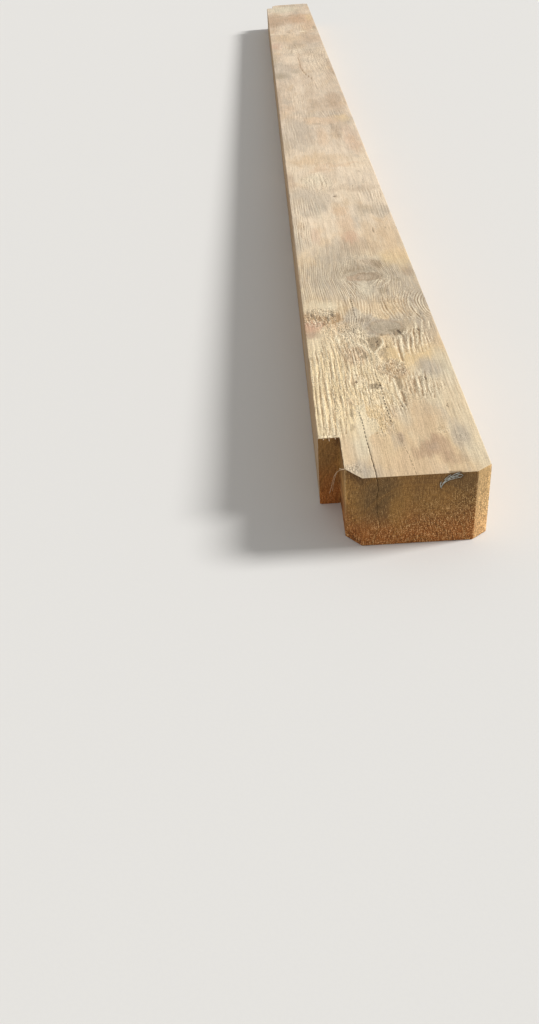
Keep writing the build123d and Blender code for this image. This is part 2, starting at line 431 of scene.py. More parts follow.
bared = [
    (0.9, [(-39, -1655), (-30, -1648), (-28, -1665), (-28, -1680), (-20, -1686), (-17, -1700), (-18, -1712),
        (-25, -1716), (-31, -1724), (-35, -1742), (-39, -1740), (-41, -1722), (-42, -1700), (-40, -1680)]),
    (0.75, [(-47, -1463), (-42, -1465), (-41, -1480), (-44, -1494), (-48, -1488), (-49, -1475)]),
    (0.55, [(-60, -1352), (-45, -1350), (-41, -1365), (-42, -1386), (-52, -1388), (-60, -1378), (-66, -1365)]),
    (0.5, [(33, -1480), (37, -1478), (37.5, -1500), (35.5, -1520), (32.5, -1520), (33, -1500)]),
    (0.9, [(-21, -1490), (-17, -1492), (-12, -1503), (-7, -1512), (-5, -1522), (-8, -1522), (-13, -1512),
        (-18, -1502)]),
    (0.8, [(-30, -1478), (-27, -1478), (-22, -1490), (-26, -1500), (-34, -1506), (-36, -1503), (-28, -1494)]),
    (0.7, [(10, -1484), (12.5, -1484), (12, -1499), (7, -1510), (0, -1522), (-3, -1524), (4, -1509),
        (9.5, -1497)]),
    (0.7, [(57, -1440), (60, -1436), (59, -1462), (56, -1464)]),
    (0.6, [(-32, -1496), (-26, -1490), (-20, -1498), (-24, -1504), (-31, -1505)]),
    (0.6, [(10.5, -1592), (13, -1590), (12.5, -1625), (14, -1656), (11.5, -1650), (10.5, -1620)]),
    (0.5, [(-36, -1560), (-26, -1556), (-27, -1600), (-35, -1615)]),
    (0.35, [(-84, -1520), (-78, -1500), (-70, -1494), (-64, -1500), (-66, -1512), (-80, -1530)]),
    (0.5, [(-22, -1652), (-12, -1640), (-2, -1626), (-2, -1645), (-12, -1656)]),
    (0.35, [(-44, -502), (-20, -498), (-14, -540), (-30, -548), (-46, -540)]),
    (0.4, [(-44, -935), (-32, -940), (-30, -1010), (-42, -1005)]),
]

# Where growth lines show on the top: middle and half sizes of the patch, the distance between lines, the
# strength and, where they run round a place beside it, the middle of that place and how flat they do
grainPatches = [
    (8, -1285, 60, 80, 2.9, 1), (-64, -1275, 30, 90, 3.1, 0.8), (66, -1384, 26, 52, 3.8, 1, (102, -1385, 0.55)),
    (34, -1388, 16, 40, 4.6, 0.75, (110, -1375, 0.6)), (-14, -1392, 28, 52, 3.8, 0.85),
    (-66, -1598, 24, 128, 5.3, 0.85), (-28, -1575, 22, 90, 4.2, 0.8), (-30, -1500, 20, 30, 4.4, 0.7),
    (46, -1495, 26, 40, 4.8, 0.9), (42, -1612, 26, 34, 4.6, 0.85), (70, -1600, 16, 110, 4, 0.3),
    (6, -1640, 20, 44, 4, 0.7), (0, -1165, 50, 40, 3.2, 0.35), (-70, -1060, 16, 90, 3.6, 0.7),
    (-60, -930, 28, 60, 4.2, 0.6), (68, -965, 20, 50, 4.6, 0.5), (60, -880, 26, 44, 5, 0.45),
    (-32, -785, 34, 60, 5.5, 0.45), (-66, -420, 22, 140, 6, 0.35), (34, -226, 36, 40, 6.5, 0.4),
    (-34, -232, 30, 46, 6.5, 0.4), (-36, -50, 28, 60, 6, 0.35), (30, 120, 30, 60, 6.5, 0.4),
    (66, 420, 24, 330, 7, 0.4), (-16, 690, 34, 110, 7, 0.4), (28, 1150, 20, 90, 7, 0.35),
]
# What those lines bend round: the middle, how far aside it pushes them, how wide and how long that is felt
eddies = [
    (10, -1274, 20, 42, 46), (19, -1450, 22, 30, 30), (-2, -1492, 8, 16, 24), (-33, -1596, 5, 12, 14),
    (12, -1612, 6, 14, 34), (-26, -800, 9, 26, 60), (-17, -700, 10, 30, 30), (0, -322, 20, 44, 90),
    (20, -60, 14, 34, 90), (100, 380, 34, 50, 260), (-12, 640, 16, 40, 110),
]
# Smooth places without growth lines: middle, half sizes and strength
calm = [
    (10, -1274, 27, 20, 1), (12, -1256, 20, 14, 1), (9, -1316, 13, 24, 0.85), (14, -1230, 24, 18, 0.7),
    (22, -1449, 30, 22, 1), (56, -1550, 22, 18, 0.8),
]

# How these tables are drawn on the top, in mm
drawn = {
    "fray": 2.6,                  # how ragged the edges of patches are
    "softAt": (-1400.0, -1100.0, 0.0),    # places along the beam
    "softness": (1.6, 4.0, 9.0),  # how soft the edges of patches are there
    "farthest": 60.0,             # no eddy pushes a growth line farther
    "eddyHeart": 4.0,             # how wide the still middle of an eddy is
    "plainSpacing": 5.0,          # between growth lines outside the patches
    "carvedFrom": 2.8,            # lines that lie wider apart are carved as well
    "lipAt": 2.1,                 # where timber stands up beside a line, in half widths of the line
    "lipWidth": 0.8,
    "lineReach": 9.0,             # how far a line is felt, in half widths
    "slip": 4.0,                  # how far lines that repeat are shifted lengthways
}


# Even random values from 0 to 1 over the top, which change every so many mm across and along
def drifting(x, y, across, along, seed):
    size = 256
    table = np.random.default_rng(seed).random((size, size))
    u, v = x / across + 40.0, y / along + 400.0
    column, row = np.floor(u).astype(int), np.floor(v).astype(int)
    u, v = u - column, v - row
    u, v = u * u * (3 - 2 * u), v * v * (3 - 2 * v)
    a, b, c, d = (table[(column + i) % size, (row + j) % size] for j in (0, 1) for i in (0, 1))
    return (a * (1 - u) + b * u) * (1 - v) + (c * (1 - u) + d * u) * v


# How far each place lies from the line through the points, less where it is off lengthways, and to which side
def offLine(x, y, points, lengthways=1.0):
    nearest, side = np.full(len(x), 99.0), np.ones(len(x))
    for a, b in zip(points, points[1:]):
        span = b - a
        along = np.clip(((x - a[0]) * span[0] + (y - a[1]) * span[1]) / (span @ span), 0, 1)
        offX, offY = x - a[0] - along * span[0], y - a[1] - along * span[1]
        away = np.hypot(offX, offY * lengthways)
        side = np.where(away < nearest, np.copysign(1.0, offX), side)
        nearest = np.minimum(nearest, away)
    return nearest, side


# How far each place lies inside the outlines, from 0 to 1, with a frayed edge
def outlineShares(x, y, outlines):
    frayed = (drifting(x, y, 1.7, 4.0, 5) - 0.5) * drawn["fray"] * np.interp(y, (-1300.0, 0.0), (1.0, 3.0))
    share = np.zeros(len(x))
    for much, outline in outlines:
        corners = np.array([*outline, outline[0]])
        inside = np.zeros(len(x), dtype=bool)
        for a, b in zip(corners, corners[1:]):
            slope = (b[0] - a[0]) / ((b[1] - a[1]) or 1e-6)
            inside ^= ((a[1] > y) != (b[1] > y)) & (x < a[0] + (y - a[1]) * slope)
        away = offLine(x, y, corners, 0.6)[0]
        depth = np.where(inside, away, -away) + frayed
        soft = np.interp(corners[:-1, 1].mean(), drawn["softAt"], drawn["softness"])
        share = np.maximum(share, much * np.clip(depth / soft + 0.5, 0, 1))
    return share


# The growth lines: how many lie between a place and the middle, how plainly they show there and how much
# they are carved. Each place is traced back to the column where its line would run without the eddies.
def growthLines(x, y):
    low, high = x - drawn["farthest"], x + drawn["farthest"]
    for halving in range(12):
        column = (low + high) / 2
        pushed = column.copy()
        for x0, y0, push, wide, long in eddies:
            off = column - x0
            felt = np.exp(-(abs(y - y0) / long) ** 1.5 - abs(off) / wide)
            pushed += np.tanh(off / drawn["eddyHeart"]) * push * felt
        high, low = np.where(pushed > x, column, high), np.where(pushed > x, low, column)
    column = column + 3.0 * (drifting(x, y, 20.0, 110.0, 3) - 0.5)
    column = column + 2.2 * (drifting(x, y, 8.0, 40.0, 4) - 0.5)
    phase = column / drawn["plainSpacing"]
    shown, second, carved = np.zeros((3, len(x)))
    for x0, y0, wide, long, spacing, much, *bent in grainPatches:
        away = ((x - x0) / wide) ** 2 + ((y - y0) / long) ** 2
        part = much * np.clip((1.3 - away) / 0.7, 0, 1)
        place = column
        for middleX, middleY, squash in bent:
            place = np.hypot(x - middleX, (y - middleY) * squash) + 2.0 * (drifting(x, y, 14.0, 24.0, 9) - 0.5)
        better = part > shown
        second = np.where(better, shown, np.maximum(second, part))
        phase = np.where(better, place / spacing, phase)
        shown = np.where(better, part, shown)
        carved = np.where(better, np.clip((spacing - drawn["carvedFrom"]) / 1.2, 0, 1), carved)
    shown = shown * np.clip((shown - second) / 0.06, 0, 1)
    for x0, y0, wide, long, much in calm:
        away = ((x - x0) / wide) ** 2 + ((y - y0) / long) ** 2
        shown *= 1 - much * np.clip((1.35 - away) / 0.6, 0, 1)
    return phase, shown, shown * carved


# How strongly the lines mark each place, from 0 to 1, and how much the timber beside them stands as a lip
def lineShares(x, y, lines):
    wavy = x + 0.9 * (drifting(x, y, 9.0, 14.0, 11) - 0.5) + 1.0 * (drifting(x, y, 4.0, 4.5, 12) - 0.5)
    uneven = np.clip(0.5 + 0.9 * drifting(x, y, 2.6, 9.0, 13), 0, 1)
    share, lip = np.zeros(len(x)), np.zeros(len(x))
    for half, much, line, *repeats in lines:
        count, step = repeats or (1, 0)
        for copy in range(count):
            points = np.array(line) + (copy * step, drawn["slip"] * math.sin(copy * 2.3))
            reach = drawn["lineReach"] * half
            lowest, highest = points.min(axis=0) - reach, points.max(axis=0) + reach
            near = np.flatnonzero((wavy > lowest[0]) & (wavy < highest[0]) & (y > lowest[1]) & (y < highest[1]))
            away = offLine(wavy[near], y[near], points, 0.45)[0] / half
            strength = much * uneven[near]
            share[near] = np.maximum(share[near], strength * np.exp(-away ** 2))
            beside = np.exp(-((away - drawn["lipAt"]) / drawn["lipWidth"]) ** 2)
            lip[near] = np.maximum(lip[near], strength * beside)
    return share, lip * (1 - share)


# The nearest drying crack: how many half widths it lies aside, counted from left to right, and its strength
def crackSides(x, y):
    wavy = x + 0.9 * (drifting(x, y, 9.0, 14.0, 11) - 0.5)
    aside, strength = np.full(len(x), 9.0), np.zeros(len(x))
    for half, much, line in cracks:
        away, side = offLine(wavy, y, np.array(line), 0.45)
        nearer = away / half < abs(aside)
        aside = np.where(nearer, side * away / half, aside)
        strength = np.where(nearer, much, strength)
    return aside, strength


# How far each place lies in any of the patches, from 0 to 1. The wobble frays their edges.
def patchShare(net, x, y, patches, wobble):
    shares = []
    for x0, y0, wide, long, much in patches:
        sideways, lengthways = (x - x0) / wide, (y - y0) / long
        reach = sideways * sideways + lengthways * lengthways + wobble
        shares.append(net.rise(reach, 1.35, 0.35) * much)
    return reduce(net.larger, shares)


# How much of the dark late wood of a ring each place has
def lateWoodShare(net, field, low, high):
    phase = net.math("FRACT", field["radial"] / growth["ringWidth"])
    return net.rise(phase, low, high) * net.rise(phase, 1.0, 0.92)


# The weathered skin of the top: raised late wood, the soft wood worn away between, and how crumbled it is
def weathering(net, point, field):
    x, y = net.split(point)[:2]
    wobble = net.sway(point, (14.0, 40.0, 14.0), 2.2, 3.0)
    lateWood = lateWoodShare(net, field, 0.4, 0.72)
    broken = net.rise(net.noise(field["moved"], (5.0, 42.0, 5.0), 2.0), 0.33, 0.5)
    torn = net.rise(net.noise(field["moved"], (1.9, 6.5, 1.9), 3.0, 0.75), 0.44, 0.54)
    return {
        "rough": patchShare(net, x, y, ridged, wobble),
        "crumb": patchShare(net, x, y, crumbled, wobble),
        "lateWood": lateWood,
        "crest": lateWood * broken,
        "torn": torn,
    }


# How deep each kind of wear lies below the sawn plane, in mm
relief = {
    "ridges": 0.9,                # soft wood worn away between ridges of late wood
    "pits": 0.6,                  # in crumbled skin
    "furrows": 0.75,              # the lines, marks and dulled patches above
    "fibres": 0.22,
    "hollows": 0.35,              # broad and shallow, all along the faces
    "endGrain": 0.45,
    "arrisChips": 0.5,            # along the sawn edges
    "growthLines": 0.34,
    "dent": 1.3,                  # in the upper edge of the near end
}

# The outline of the skin and how it is divided, in mm
skin = {
    "arris": 1.5,                 # rounding of the long edges
    "sawnArris": 0.5,             # rounding of the sawn ends
    "chamferAcross": 16.0,
    "notchedChamfer": 19.0,       # along the beam, on the notched edge
    "plainChamfer": 12.0,         # along the beam, on the plain edge
    "squeeze": 24.0,              # width of skin that gives way to a chamfer
    "dentAt": 49.0,               # where across the end's upper edge it is dented
    "dentSize": (4.5, 2.5, 3.0),
    "pitchHollow": 0.35,          # share of the dent's depth under the streak of pitch
    # a painted shadow darkens the end beside the streak of pitch
    "pitchShadowReach": 1.8,            # how far the end is darkened beside that streak
    "chipReach": 3.0,             # how far from a sawn edge it is chipped
    "columnStep": 1.12,           # across the width
    "rowStep": 3.4,               # up the thickness
}

# The open drying check at the near end: its line along the top and down the end face, in mm
check = {
    "x": -31.1,
    "alongTop": [(-1800, 0), (-1768, -1.6), (-1738, -2.6), (-1705, -3), (-1672, -4.4), (-1600, -4.6)],
    "downEnd": [(85, 0), (76, 0.7), (69, 1.6), (60, -0.1), (50, 0.1), (41, 0.4), (32, 2.4), (20, 4.6)],
    "closesAt": -1738.0,
    "closesDown": 27.0,
    "lips": 0.55,                 # half its width at the end
    "depthTop": 5.5,
    "depthEnd": 4.0,
    "pull": 15.0,                 # how far the skin beside it follows its line
    "fades": 180.0,               # and how far past its tip
    "endPull": 30.0,              # how far in from the end it follows the line down the end
}


def spaced(start, stop, step):
    return np.linspace(start, stop, max(2, round(abs(stop - start) / step) + 1))


def joinedPlaces(*parts):
    return np.unique(np.round(np.concatenate(parts), 4))


def columnPlaces():
    edge = np.array([0.0, 0.45, skin["arris"]])
    step = skin["columnStep"]
    cluster = check["x"] + check["lips"] * np.array([-1.0, -0.42, 0.0, 0.42, 1.0])
    return joinedPlaces(left + edge, spaced(left + edge[-1], cheek, step), spaced(cheek, cluster[0], step),
                        cluster, spaced(cluster[-1], right - edge[-1], step), right - edge)


def rowPlaces():
    edge = np.array([0.0, 0.45, skin["arris"], 3.2])
    return joinedPlaces(edge, spaced(edge[-1], thickness - edge[-1], skin["rowStep"]), thickness - edge)


# Finest where the beam is nearest to the eye
def stationPlaces():
    tip = np.array([0.0, 0.25, 0.7, 1.6])
    plain, notched = skin["plainChamfer"], skin["notchedChamfer"]
    stops = [(nearEnd + plain, 2.6), (nearEnd + notched, 2.4), (nearShoulder, 3.2), (-1400.0, 2.6),
             (-1160.0, 4.0), (-700.0, 8.5), (0.0, 14.0), (farShoulder, 30.0), (farEnd - notched, 12.0),
             (farEnd - plain, 4.0), (farEnd - tip[-1], 4.0)]
    starts = [nearEnd + tip[-1], *(stop for stop, step in stops)]
    stretches = [spaced(start, stop, step) for start, (stop, step) in zip(starts, stops)]
    return joinedPlaces(nearEnd + tip, *stretches, farEnd - tip)


# One closed skin over the beam: a lattice of columns, stations and rows, of which only the outer faces are kept
def latticeSkin():
    xs, ys, zs = columnPlaces(), stationPlaces(), rowPlaces()
    lastX, lastY, lastZ = len(xs) - 1, len(ys) - 1, len(zs) - 1
    cheekColumn = int(np.argmin(abs(xs - cheek)))
    shoulders = [int(np.argmin(abs(ys - shoulder))) for shoulder in (nearShoulder, farShoulder)]
    chamfers = (skin["notchedChamfer"], skin["plainChamfer"])
    chamferStops = [int(np.argmin(abs(ys - stop))) for depth in chamfers
                    for stop in (nearEnd + depth, farEnd - depth)]
    coarseColumns = sorted({*range(0, lastX, 4), cheekColumn, lastX})
    coarseStations = sorted({*range(0, lastY, 3), 0, 1, 2, *shoulders, *chamferStops, lastY})
    numbers, faces, kinds = {}, [], []

    def face(corners, flip, kind):
        loop = [numbers.setdefault(corner, len(numbers)) for corner in corners]
        faces.append(loop[::-1] if flip else loop)
        kinds.append(int(kind))

    def isWide(j):
        return shoulders[0] <= j < shoulders[1]

    def firstColumn(j):
        return 0 if isWide(j) else cheekColumn

    # Top in fine cells, underside in coarse ones
    for j in range(lastY):
        for i in range(firstColumn(j), lastX):
            face([(i, j, lastZ), (i + 1, j, lastZ), (i + 1, j + 1, lastZ), (i, j + 1, lastZ)], False, 0)
    for a, b in zip(coarseStations, coarseStations[1:]):
        for c, d in zip(coarseColumns, coarseColumns[1:]):
            if c >= firstColumn(a):
                face([(c, a, 0), (c, b, 0), (d, b, 0), (d, a, 0)], False, 0)
    # Long sides, whose lowest strip joins the fine cells to the coarse underside
    for notched, depth in zip((True, False), chamfers):
        for a, b in zip(coarseStations, coarseStations[1:]):
            i = firstColumn(a) if notched else lastX
            sawn = ys[b] <= nearEnd + depth + 0.01 or ys[a] >= farEnd - depth - 0.01
            # The notch's cheek is side grain, but takes the darker end-grain material as painted shade
            sawn = sawn or (notched and not isWide(a))
            face([(i, a, 0), (i, b, 0), *((i, j, 1) for j in range(b, a - 1, -1))], notched, sawn)
            for j in range(a, b):
                for k in range(1, lastZ):
                    face([(i, j, k), (i, j + 1, k), (i, j + 1, k + 1), (i, j, k + 1)], notched, sawn)
    # Ends and the two shoulders of the notches
    walls = [(0, cheekColumn, lastX, False), (shoulders[0], 0, cheekColumn, False),
             (shoulders[1], 0, cheekColumn, True), (lastY, cheekColumn, lastX, True)]
    for j, start, stop, flip in walls:
        coarse = [i for i in coarseColumns if start <= i <= stop]
        for a, b in zip(coarse, coarse[1:]):
            face([(a, j, 0), (b, j, 0), *((i, j, 1) for i in range(b, a - 1, -1))], flip, 1)
        for i in range(start, stop):
            for k in range(1, lastZ):
                face([(i, j, k), (i + 1, j, k), (i + 1, j, k + 1), (i, j, k + 1)], flip, 1)
    columns, stations, rows = np.array(list(numbers)).T
    wide = (stations >= shoulders[0]) & (stations <= shoulders[1])
    return xs[columns], ys[stations], zs[rows], wide, faces, kinds


# Moves the square lattice to the beam's real outline: chamfers, worn long edges and crisp sawn ones
def shapedPoints(x, y, z, wide):
    toEnd = np.minimum(y - nearEnd, farEnd - y)
    across = skin["chamferAcross"]
    leftLimit = np.where(wide, left, cheek + across * np.clip(1 - toEnd / skin["notchedChamfer"], 0, 1))
    rightLimit = right - across * np.clip(1 - toEnd / skin["plainChamfer"], 0, 1)
    give = skin["squeeze"]
    base = np.where(wide, left, cheek)
    share = np.clip((base + give - x) / give, 0, 1)
    x = x + np.where(wide & (x < cheek), 0, share * (leftLimit - base))
    x = x + np.clip((x - right + give) / give, 0, 1) * (rightLimit - right)
    # Worn long edges
    radius = np.where((x > 0) | wide, skin["arris"], skin["sawnArris"])
    middleX = np.clip(x, leftLimit + radius, rightLimit - radius)
    middleZ = np.clip(z, radius, thickness - radius)
    offX, offZ = x - middleX, z - middleZ
    longer = np.maximum(abs(offX), abs(offZ))
    away = np.maximum(np.hypot(offX, offZ), 1e-9)
    x, z = middleX + offX * longer / away, middleZ + offZ * longer / away
    # Sawn ends, eased a little
    ease = skin["sawnArris"]
    inset = ease * (1 - np.sqrt(1 - np.clip(1 - toEnd / ease, 0, 1) ** 2))
    middle = (leftLimit + rightLimit) / 2
    x = middle + (x - middle) * (1 - inset / (rightLimit - leftLimit) * 2)
    z = thickness / 2 + (z - thickness / 2) * (1 - inset / thickness * 2)
    # How near each point is to an edge of the sawn ends or notches
    toSide = np.minimum(x - leftLimit, rightLimit - x)
    toFace = np.minimum(z, thickness - z)
    toShoulder = np.minimum(abs(y - nearShoulder), abs(y - farShoulder)) + np.where(x > cheek + 6, 99, 0)
    distances = np.sort(np.stack([toSide, toFace, np.minimum(toEnd, toShoulder)]), axis=0)
    return np.stack([x, y, z], axis=1), np.clip(1 - distances[1] / skin["chipReach"], 0, 1)


# Opens the drying check: draws the skin to its line, then sinks the middle columns. x0 is where the lattice
# had each point.
def openCheck(points, x0):
    y, z = points[:, 1], points[:, 2]
    onEnd = y < nearEnd + 0.5
    onTopOrEnd = (z > thickness - 1e-3) | onEnd
    alongY, shiftY = np.array(check["alongTop"]).T
    downZ, shiftZ = np.array(check["downEnd"])[::-1].T
    shift = np.interp(z, downZ, shiftZ) * np.exp(-(y - nearEnd) / check["endPull"])
    shift = np.interp(y, alongY, shiftY) + shift
    jagged = 0.2 * np.sin(y / 2.3) + 0.15 * np.sin(y / 0.9)
    jagged = jagged + onEnd * (0.45 * np.sin(z / 1.7) + 0.3 * np.sin(z / 0.8))
    fade = np.clip((check["closesAt"] + check["fades"] - y) / check["fades"], 0, 1)
    pull = np.exp(-((x0 - check["x"]) / check["pull"]) ** 2)
    points[:, 0] += np.where(onTopOrEnd, (shift + jagged * np.clip(pull * 3 - 2, 0, 1)) * pull * fade, 0)
    openTop = np.clip((check["closesAt"] - y) / (check["closesAt"] - nearEnd), 0, 1) ** 0.6
    openEnd = np.clip((z - check["closesDown"]) / (thickness - check["closesDown"]), 0, 1) ** 0.5
    width = np.where(onEnd, openEnd * (0.6 + 0.3 * np.sin(z / 1.3)), openTop * (0.72 + 0.28 * np.sin(y / 1.6)))
    off = (x0 - check["x"]) / check["lips"]
    inside = (abs(off) < 0.99) & onTopOrEnd
    depth = np.where(abs(off) < 0.2, 1.0, 0.55) * inside
    # Narrow the lips where it closes
    nearLips = (abs(off) < 1.01) & onTopOrEnd
    points[:, 0] -= np.where(nearLips, off * check["lips"] * (1 - width) * 0.85, 0)
    down = depth * check["depthTop"] * openTop * np.where(onEnd, openEnd > 0, 1)
    back = depth * check["depthEnd"] * np.where(onEnd, openEnd, 1.0)
    farther = nearEnd + np.sqrt((y - nearEnd) ** 2 + back ** 2)
    points[:, 1] = np.where(onEnd, y + back, np.where(depth > 0, farther, y))
    points[:, 2] = np.where(depth > 0, thickness - np.sqrt((thickness - z) ** 2 + down ** 2), z)
    return points, np.where(inside, width, 0.0)


def newMesh(name, points, faces):
    mesh = bpy.data.meshes.new(name)
    mesh.from_pydata((points * mm).tolist(), [], faces)
    mesh.update()
    return mesh


def addAttribute(mesh, name, values, kind="FLOAT", domain="POINT"):
    layer = mesh.attributes.new(name, kind, domain)
    field = "vector" if kind == "FLOAT_VECTOR" else "value"
    layer.data.foreach_set(field, np.asarray(values, dtype=np.float32).ravel())


# Painted shadow: the end face darkens along the streak of pitch
def pitchShadow(x, y, z):
    share = np.zeros(len(x))
    for thick, line in pitchStreak:
        away = offLine(x, z, np.array(line)[:, [0, 2]])[0]
        share = np.maximum(share, np.exp(-(away / skin["pitchShadowReach"]) ** 2))
    return share * (y < nearEnd + 2)


# The skin of the beam, and on every point of it what the trees and materials need to know
def beamSkin():
    x0, y0, z0, wide, faces, kinds = latticeSkin()
    points, arris = shapedPoints(x0, y0, z0, wide)
    mesh = newMesh("beamTimber", points, faces)
    normals = np.empty(len(points) * 3, dtype=np.float32)
    mesh.vertices.foreach_get("normal", normals)
    points, opened = openCheck(points, x0)
    mesh.vertices.foreach_set("co", (points * mm).astype(np.float32).ravel())
    x, y, z = points.T
    onTop = np.clip((z - thickness + 4.0) / 3.0, 0, 1) * (opened < 0.01)
    sunk, lip = lineShares(x, y, furrows)
    raised, marked = lineShares(x, y, crests)[0], lineShares(x, y, marks)[0]
    crackAside, crackStrength = crackSides(x, y)
    phase, shown, carved = growthLines(x, y)
    pitch = pitchShadow(x, y, z)
    dentX, dentY, dentZ = skin["dentSize"]
    dent = np.exp(-((x - skin["dentAt"]) / dentX) ** 2 - ((y - nearEnd) / dentY) ** 2
                  - ((z - thickness) / dentZ) ** 2)
    # Painted highlight along the upper edge of the notch's cheek and down its upright corner, where they catch
    # light
    highlightedNotchEdges = np.clip(z - thickness + 2.0, 0, 1) * np.clip(nearShoulder + 1 - y, 0, 1)
    highlightedNotchEdges = np.maximum(highlightedNotchEdges, np.exp(-((y - nearEnd - skin["notchedChamfer"]) / 1.2) ** 2))
    for name, values in {
            "arris": arris, "opened": opened, "phase": phase, "pitchShadow": pitch, "crackAside": crackAside,
            "sunk": sunk * (1 - raised * 0.8) * onTop,
            "raised": np.maximum(raised, lip * 0.55) * onTop,
            "marked": np.minimum(marked * 1.5, 1) * onTop,
            "crackStrength": crackStrength * onTop,
            "dulled": outlineShares(x, y, dulled) * onTop,
            "bared": outlineShares(x, y, bared) * onTop,
            "shown": shown * onTop,
            "carved": carved * onTop,
            "dented": np.maximum(dent, pitch * skin["pitchHollow"]),
            "paintedEdgeHighlight": np.exp(-((x - cheek) / 0.7) ** 2) * highlightedNotchEdges}.items():
        addAttribute(mesh, name, values)
    addAttribute(mesh, "outward", normals, "FLOAT_VECTOR")
    addAttribute(mesh, "endGrainOrShadedCheek", kinds, domain="FACE")
    mesh.update()
    print("skin:", len(points), "points,", len(faces), "faces")
    return mesh


# Geometry trees: one input for each named value, and the result as a plain mesh
def geometryTree(name, sizes):
    tree = bpy.data.node_groups.new(name, "GeometryNodeTree")
    socket = tree.interface.new_socket
    socket("Geometry", in_out="OUTPUT", socket_type="NodeSocketGeometry")
    socket("Geometry", in_out="INPUT", socket_type="NodeSocketGeometry")
    for size, value in sizes.items():
        socket(size, in_out="INPUT", socket_type="NodeSocketFloat").default_value = value
    net = Net(tree)
    entry = tree.nodes.new("NodeGroupInput")
    return net, {given.name: Wire(net, given) for given in entry.outputs}


# Ends a tree: its instances made real, then each material set on the faces it is for
def endTree(net, geometry, dresses):
    geometry = net.node("GeometryNodeRealizeInstances", {}, {"Geometry": geometry})
    for material, selection in dresses:
        geometry = net.node("GeometryNodeSetMaterial", {}, {
            "Geometry": geometry, "Selection": selection, "Material": material})
    leave = net.tree.nodes.new("NodeGroupOutput")
    net.tree.links.new(geometry.socket, leave.inputs[0])
    return net.tree


# Makes an object of the mesh, grown by its tree
def grown(mesh, name, tree, sizes):
    holder = bpy.data.objects.new(name, mesh)
    bpy.context.collection.objects.link(holder)
    modifier = holder.modifiers.new(name, "NODES")
    modifier.node_group = tree
    for item in tree.interface.items_tree:
        if item.in_out == "INPUT" and item.name in sizes:
            modifier[item.identifier] = float(sizes[item.name])
    evaluated = holder.evaluated_get(bpy.context.evaluated_depsgraph_get())
    result = bpy.data.meshes.new_from_object(evaluated)
    holder.modifiers.remove(modifier)
    result.name = name
    holder.data = result
    bpy.data.meshes.remove(mesh)
    return holder


def named(net, name, kind="FLOAT"):
    return net.node("GeometryNodeInputNamedAttribute", {"data_type": kind}, {"Name": name}, "Attribute")


def ownPoint(net):
    return net.scaled(net.node("GeometryNodeInputPosition", {}, {}), 1 / mm)


# Weathering sinks every point of the skin a little below the sawn plane, never above it
def reliefTree(longMaterial, endGrainAndShadeMaterial):
    net, inputs = geometryTree("weathered relief", relief)
    point = ownPoint(net)
    outward = named(net, "outward", "FLOAT_VECTOR")
    across = net.math("ABSOLUTE", net.split(outward)[1])
    field = growthField(net, point)
    skinOf = weathering(net, point, field)
    top = net.rise(net.split(point)[2], thickness - 7, thickness - 4)
    rough, crumb = skinOf["rough"] * top, skinOf["crumb"] * top
    raised = named(net, "raised")
    ridges = (1 - skinOf["crest"]) * (rough * 0.92 + 0.08) * (1 - field["knot"] * 0.8)
    pits = (1 - skinOf["torn"]) * (crumb + rough * 0.35) * (1 - raised * 0.6)
    fibres = net.noise(field["moved"], (2.4, 45.0, 2.4), 3.0)
    hollows = net.noise(point, (55.0, 260.0, 55.0))
    patchy = net.rise(net.noise(point, (3.5, 24.0, 3.5), 2.0), 0.3, 0.6) * 0.75 + 0.25
    lines = named(net, "sunk") * patchy + named(net, "marked") * 0.6 + named(net, "dulled") * 0.35
    wave = net.math("SINE", named(net, "phase") * 2 * math.pi) * named(net, "carved")
    lines = lines * inputs["furrows"] + (1 - raised) * rough * 0.35
    lines = lines + (1 - wave) * 0.5 * inputs["growthLines"] * top
    longDepth = (ridges * inputs["ridges"] * (1 - raised * 0.6) + pits * inputs["pits"] + lines
                 + fibres * inputs["fibres"] + hollows * inputs["hollows"])
    grainEnds = net.noise(point, (2.4, 40.0, 2.8), 3.0)
    bladeLines = net.noise(point, (2.6, 60.0, 90.0), 1.0)
    endDepth = (grainEnds * 0.6 + bladeLines * 0.4) * inputs["endGrain"]
    endShare = net.rise(across, 0.45, 0.8)
    chips = net.rise(net.noise(point, (4.0, 6.0, 4.0), 3.0), 0.5, 0.72)
    chips = chips * named(net, "arris") * inputs["arrisChips"]
    depth = longDepth * (1 - endShare) + endDepth * endShare + chips
    depth = depth * (1 - named(net, "opened")) + named(net, "dented") * inputs["dent"]
    kept = net.node("GeometryNodeStoreNamedAttribute", {"data_type": "FLOAT", "domain": "POINT"}, {
        "Geometry": inputs["Geometry"], "Name": "worn", "Value": net.larger(rough, crumb)})
    moved = net.node("GeometryNodeSetPosition", {}, {
        "Geometry": kept, "Offset": net.scaled(outward, depth * -mm)})
    # End grain, and the notch's cheek as painted shade, take the end material
    endGrainOrCheekFaces = net.math("GREATER_THAN", named(net, "endGrainOrShadedCheek"), 0.5)
    return endTree(net, moved, [(longMaterial, True), (endGrainAndShadeMaterial, endGrainOrCheekFaces)])
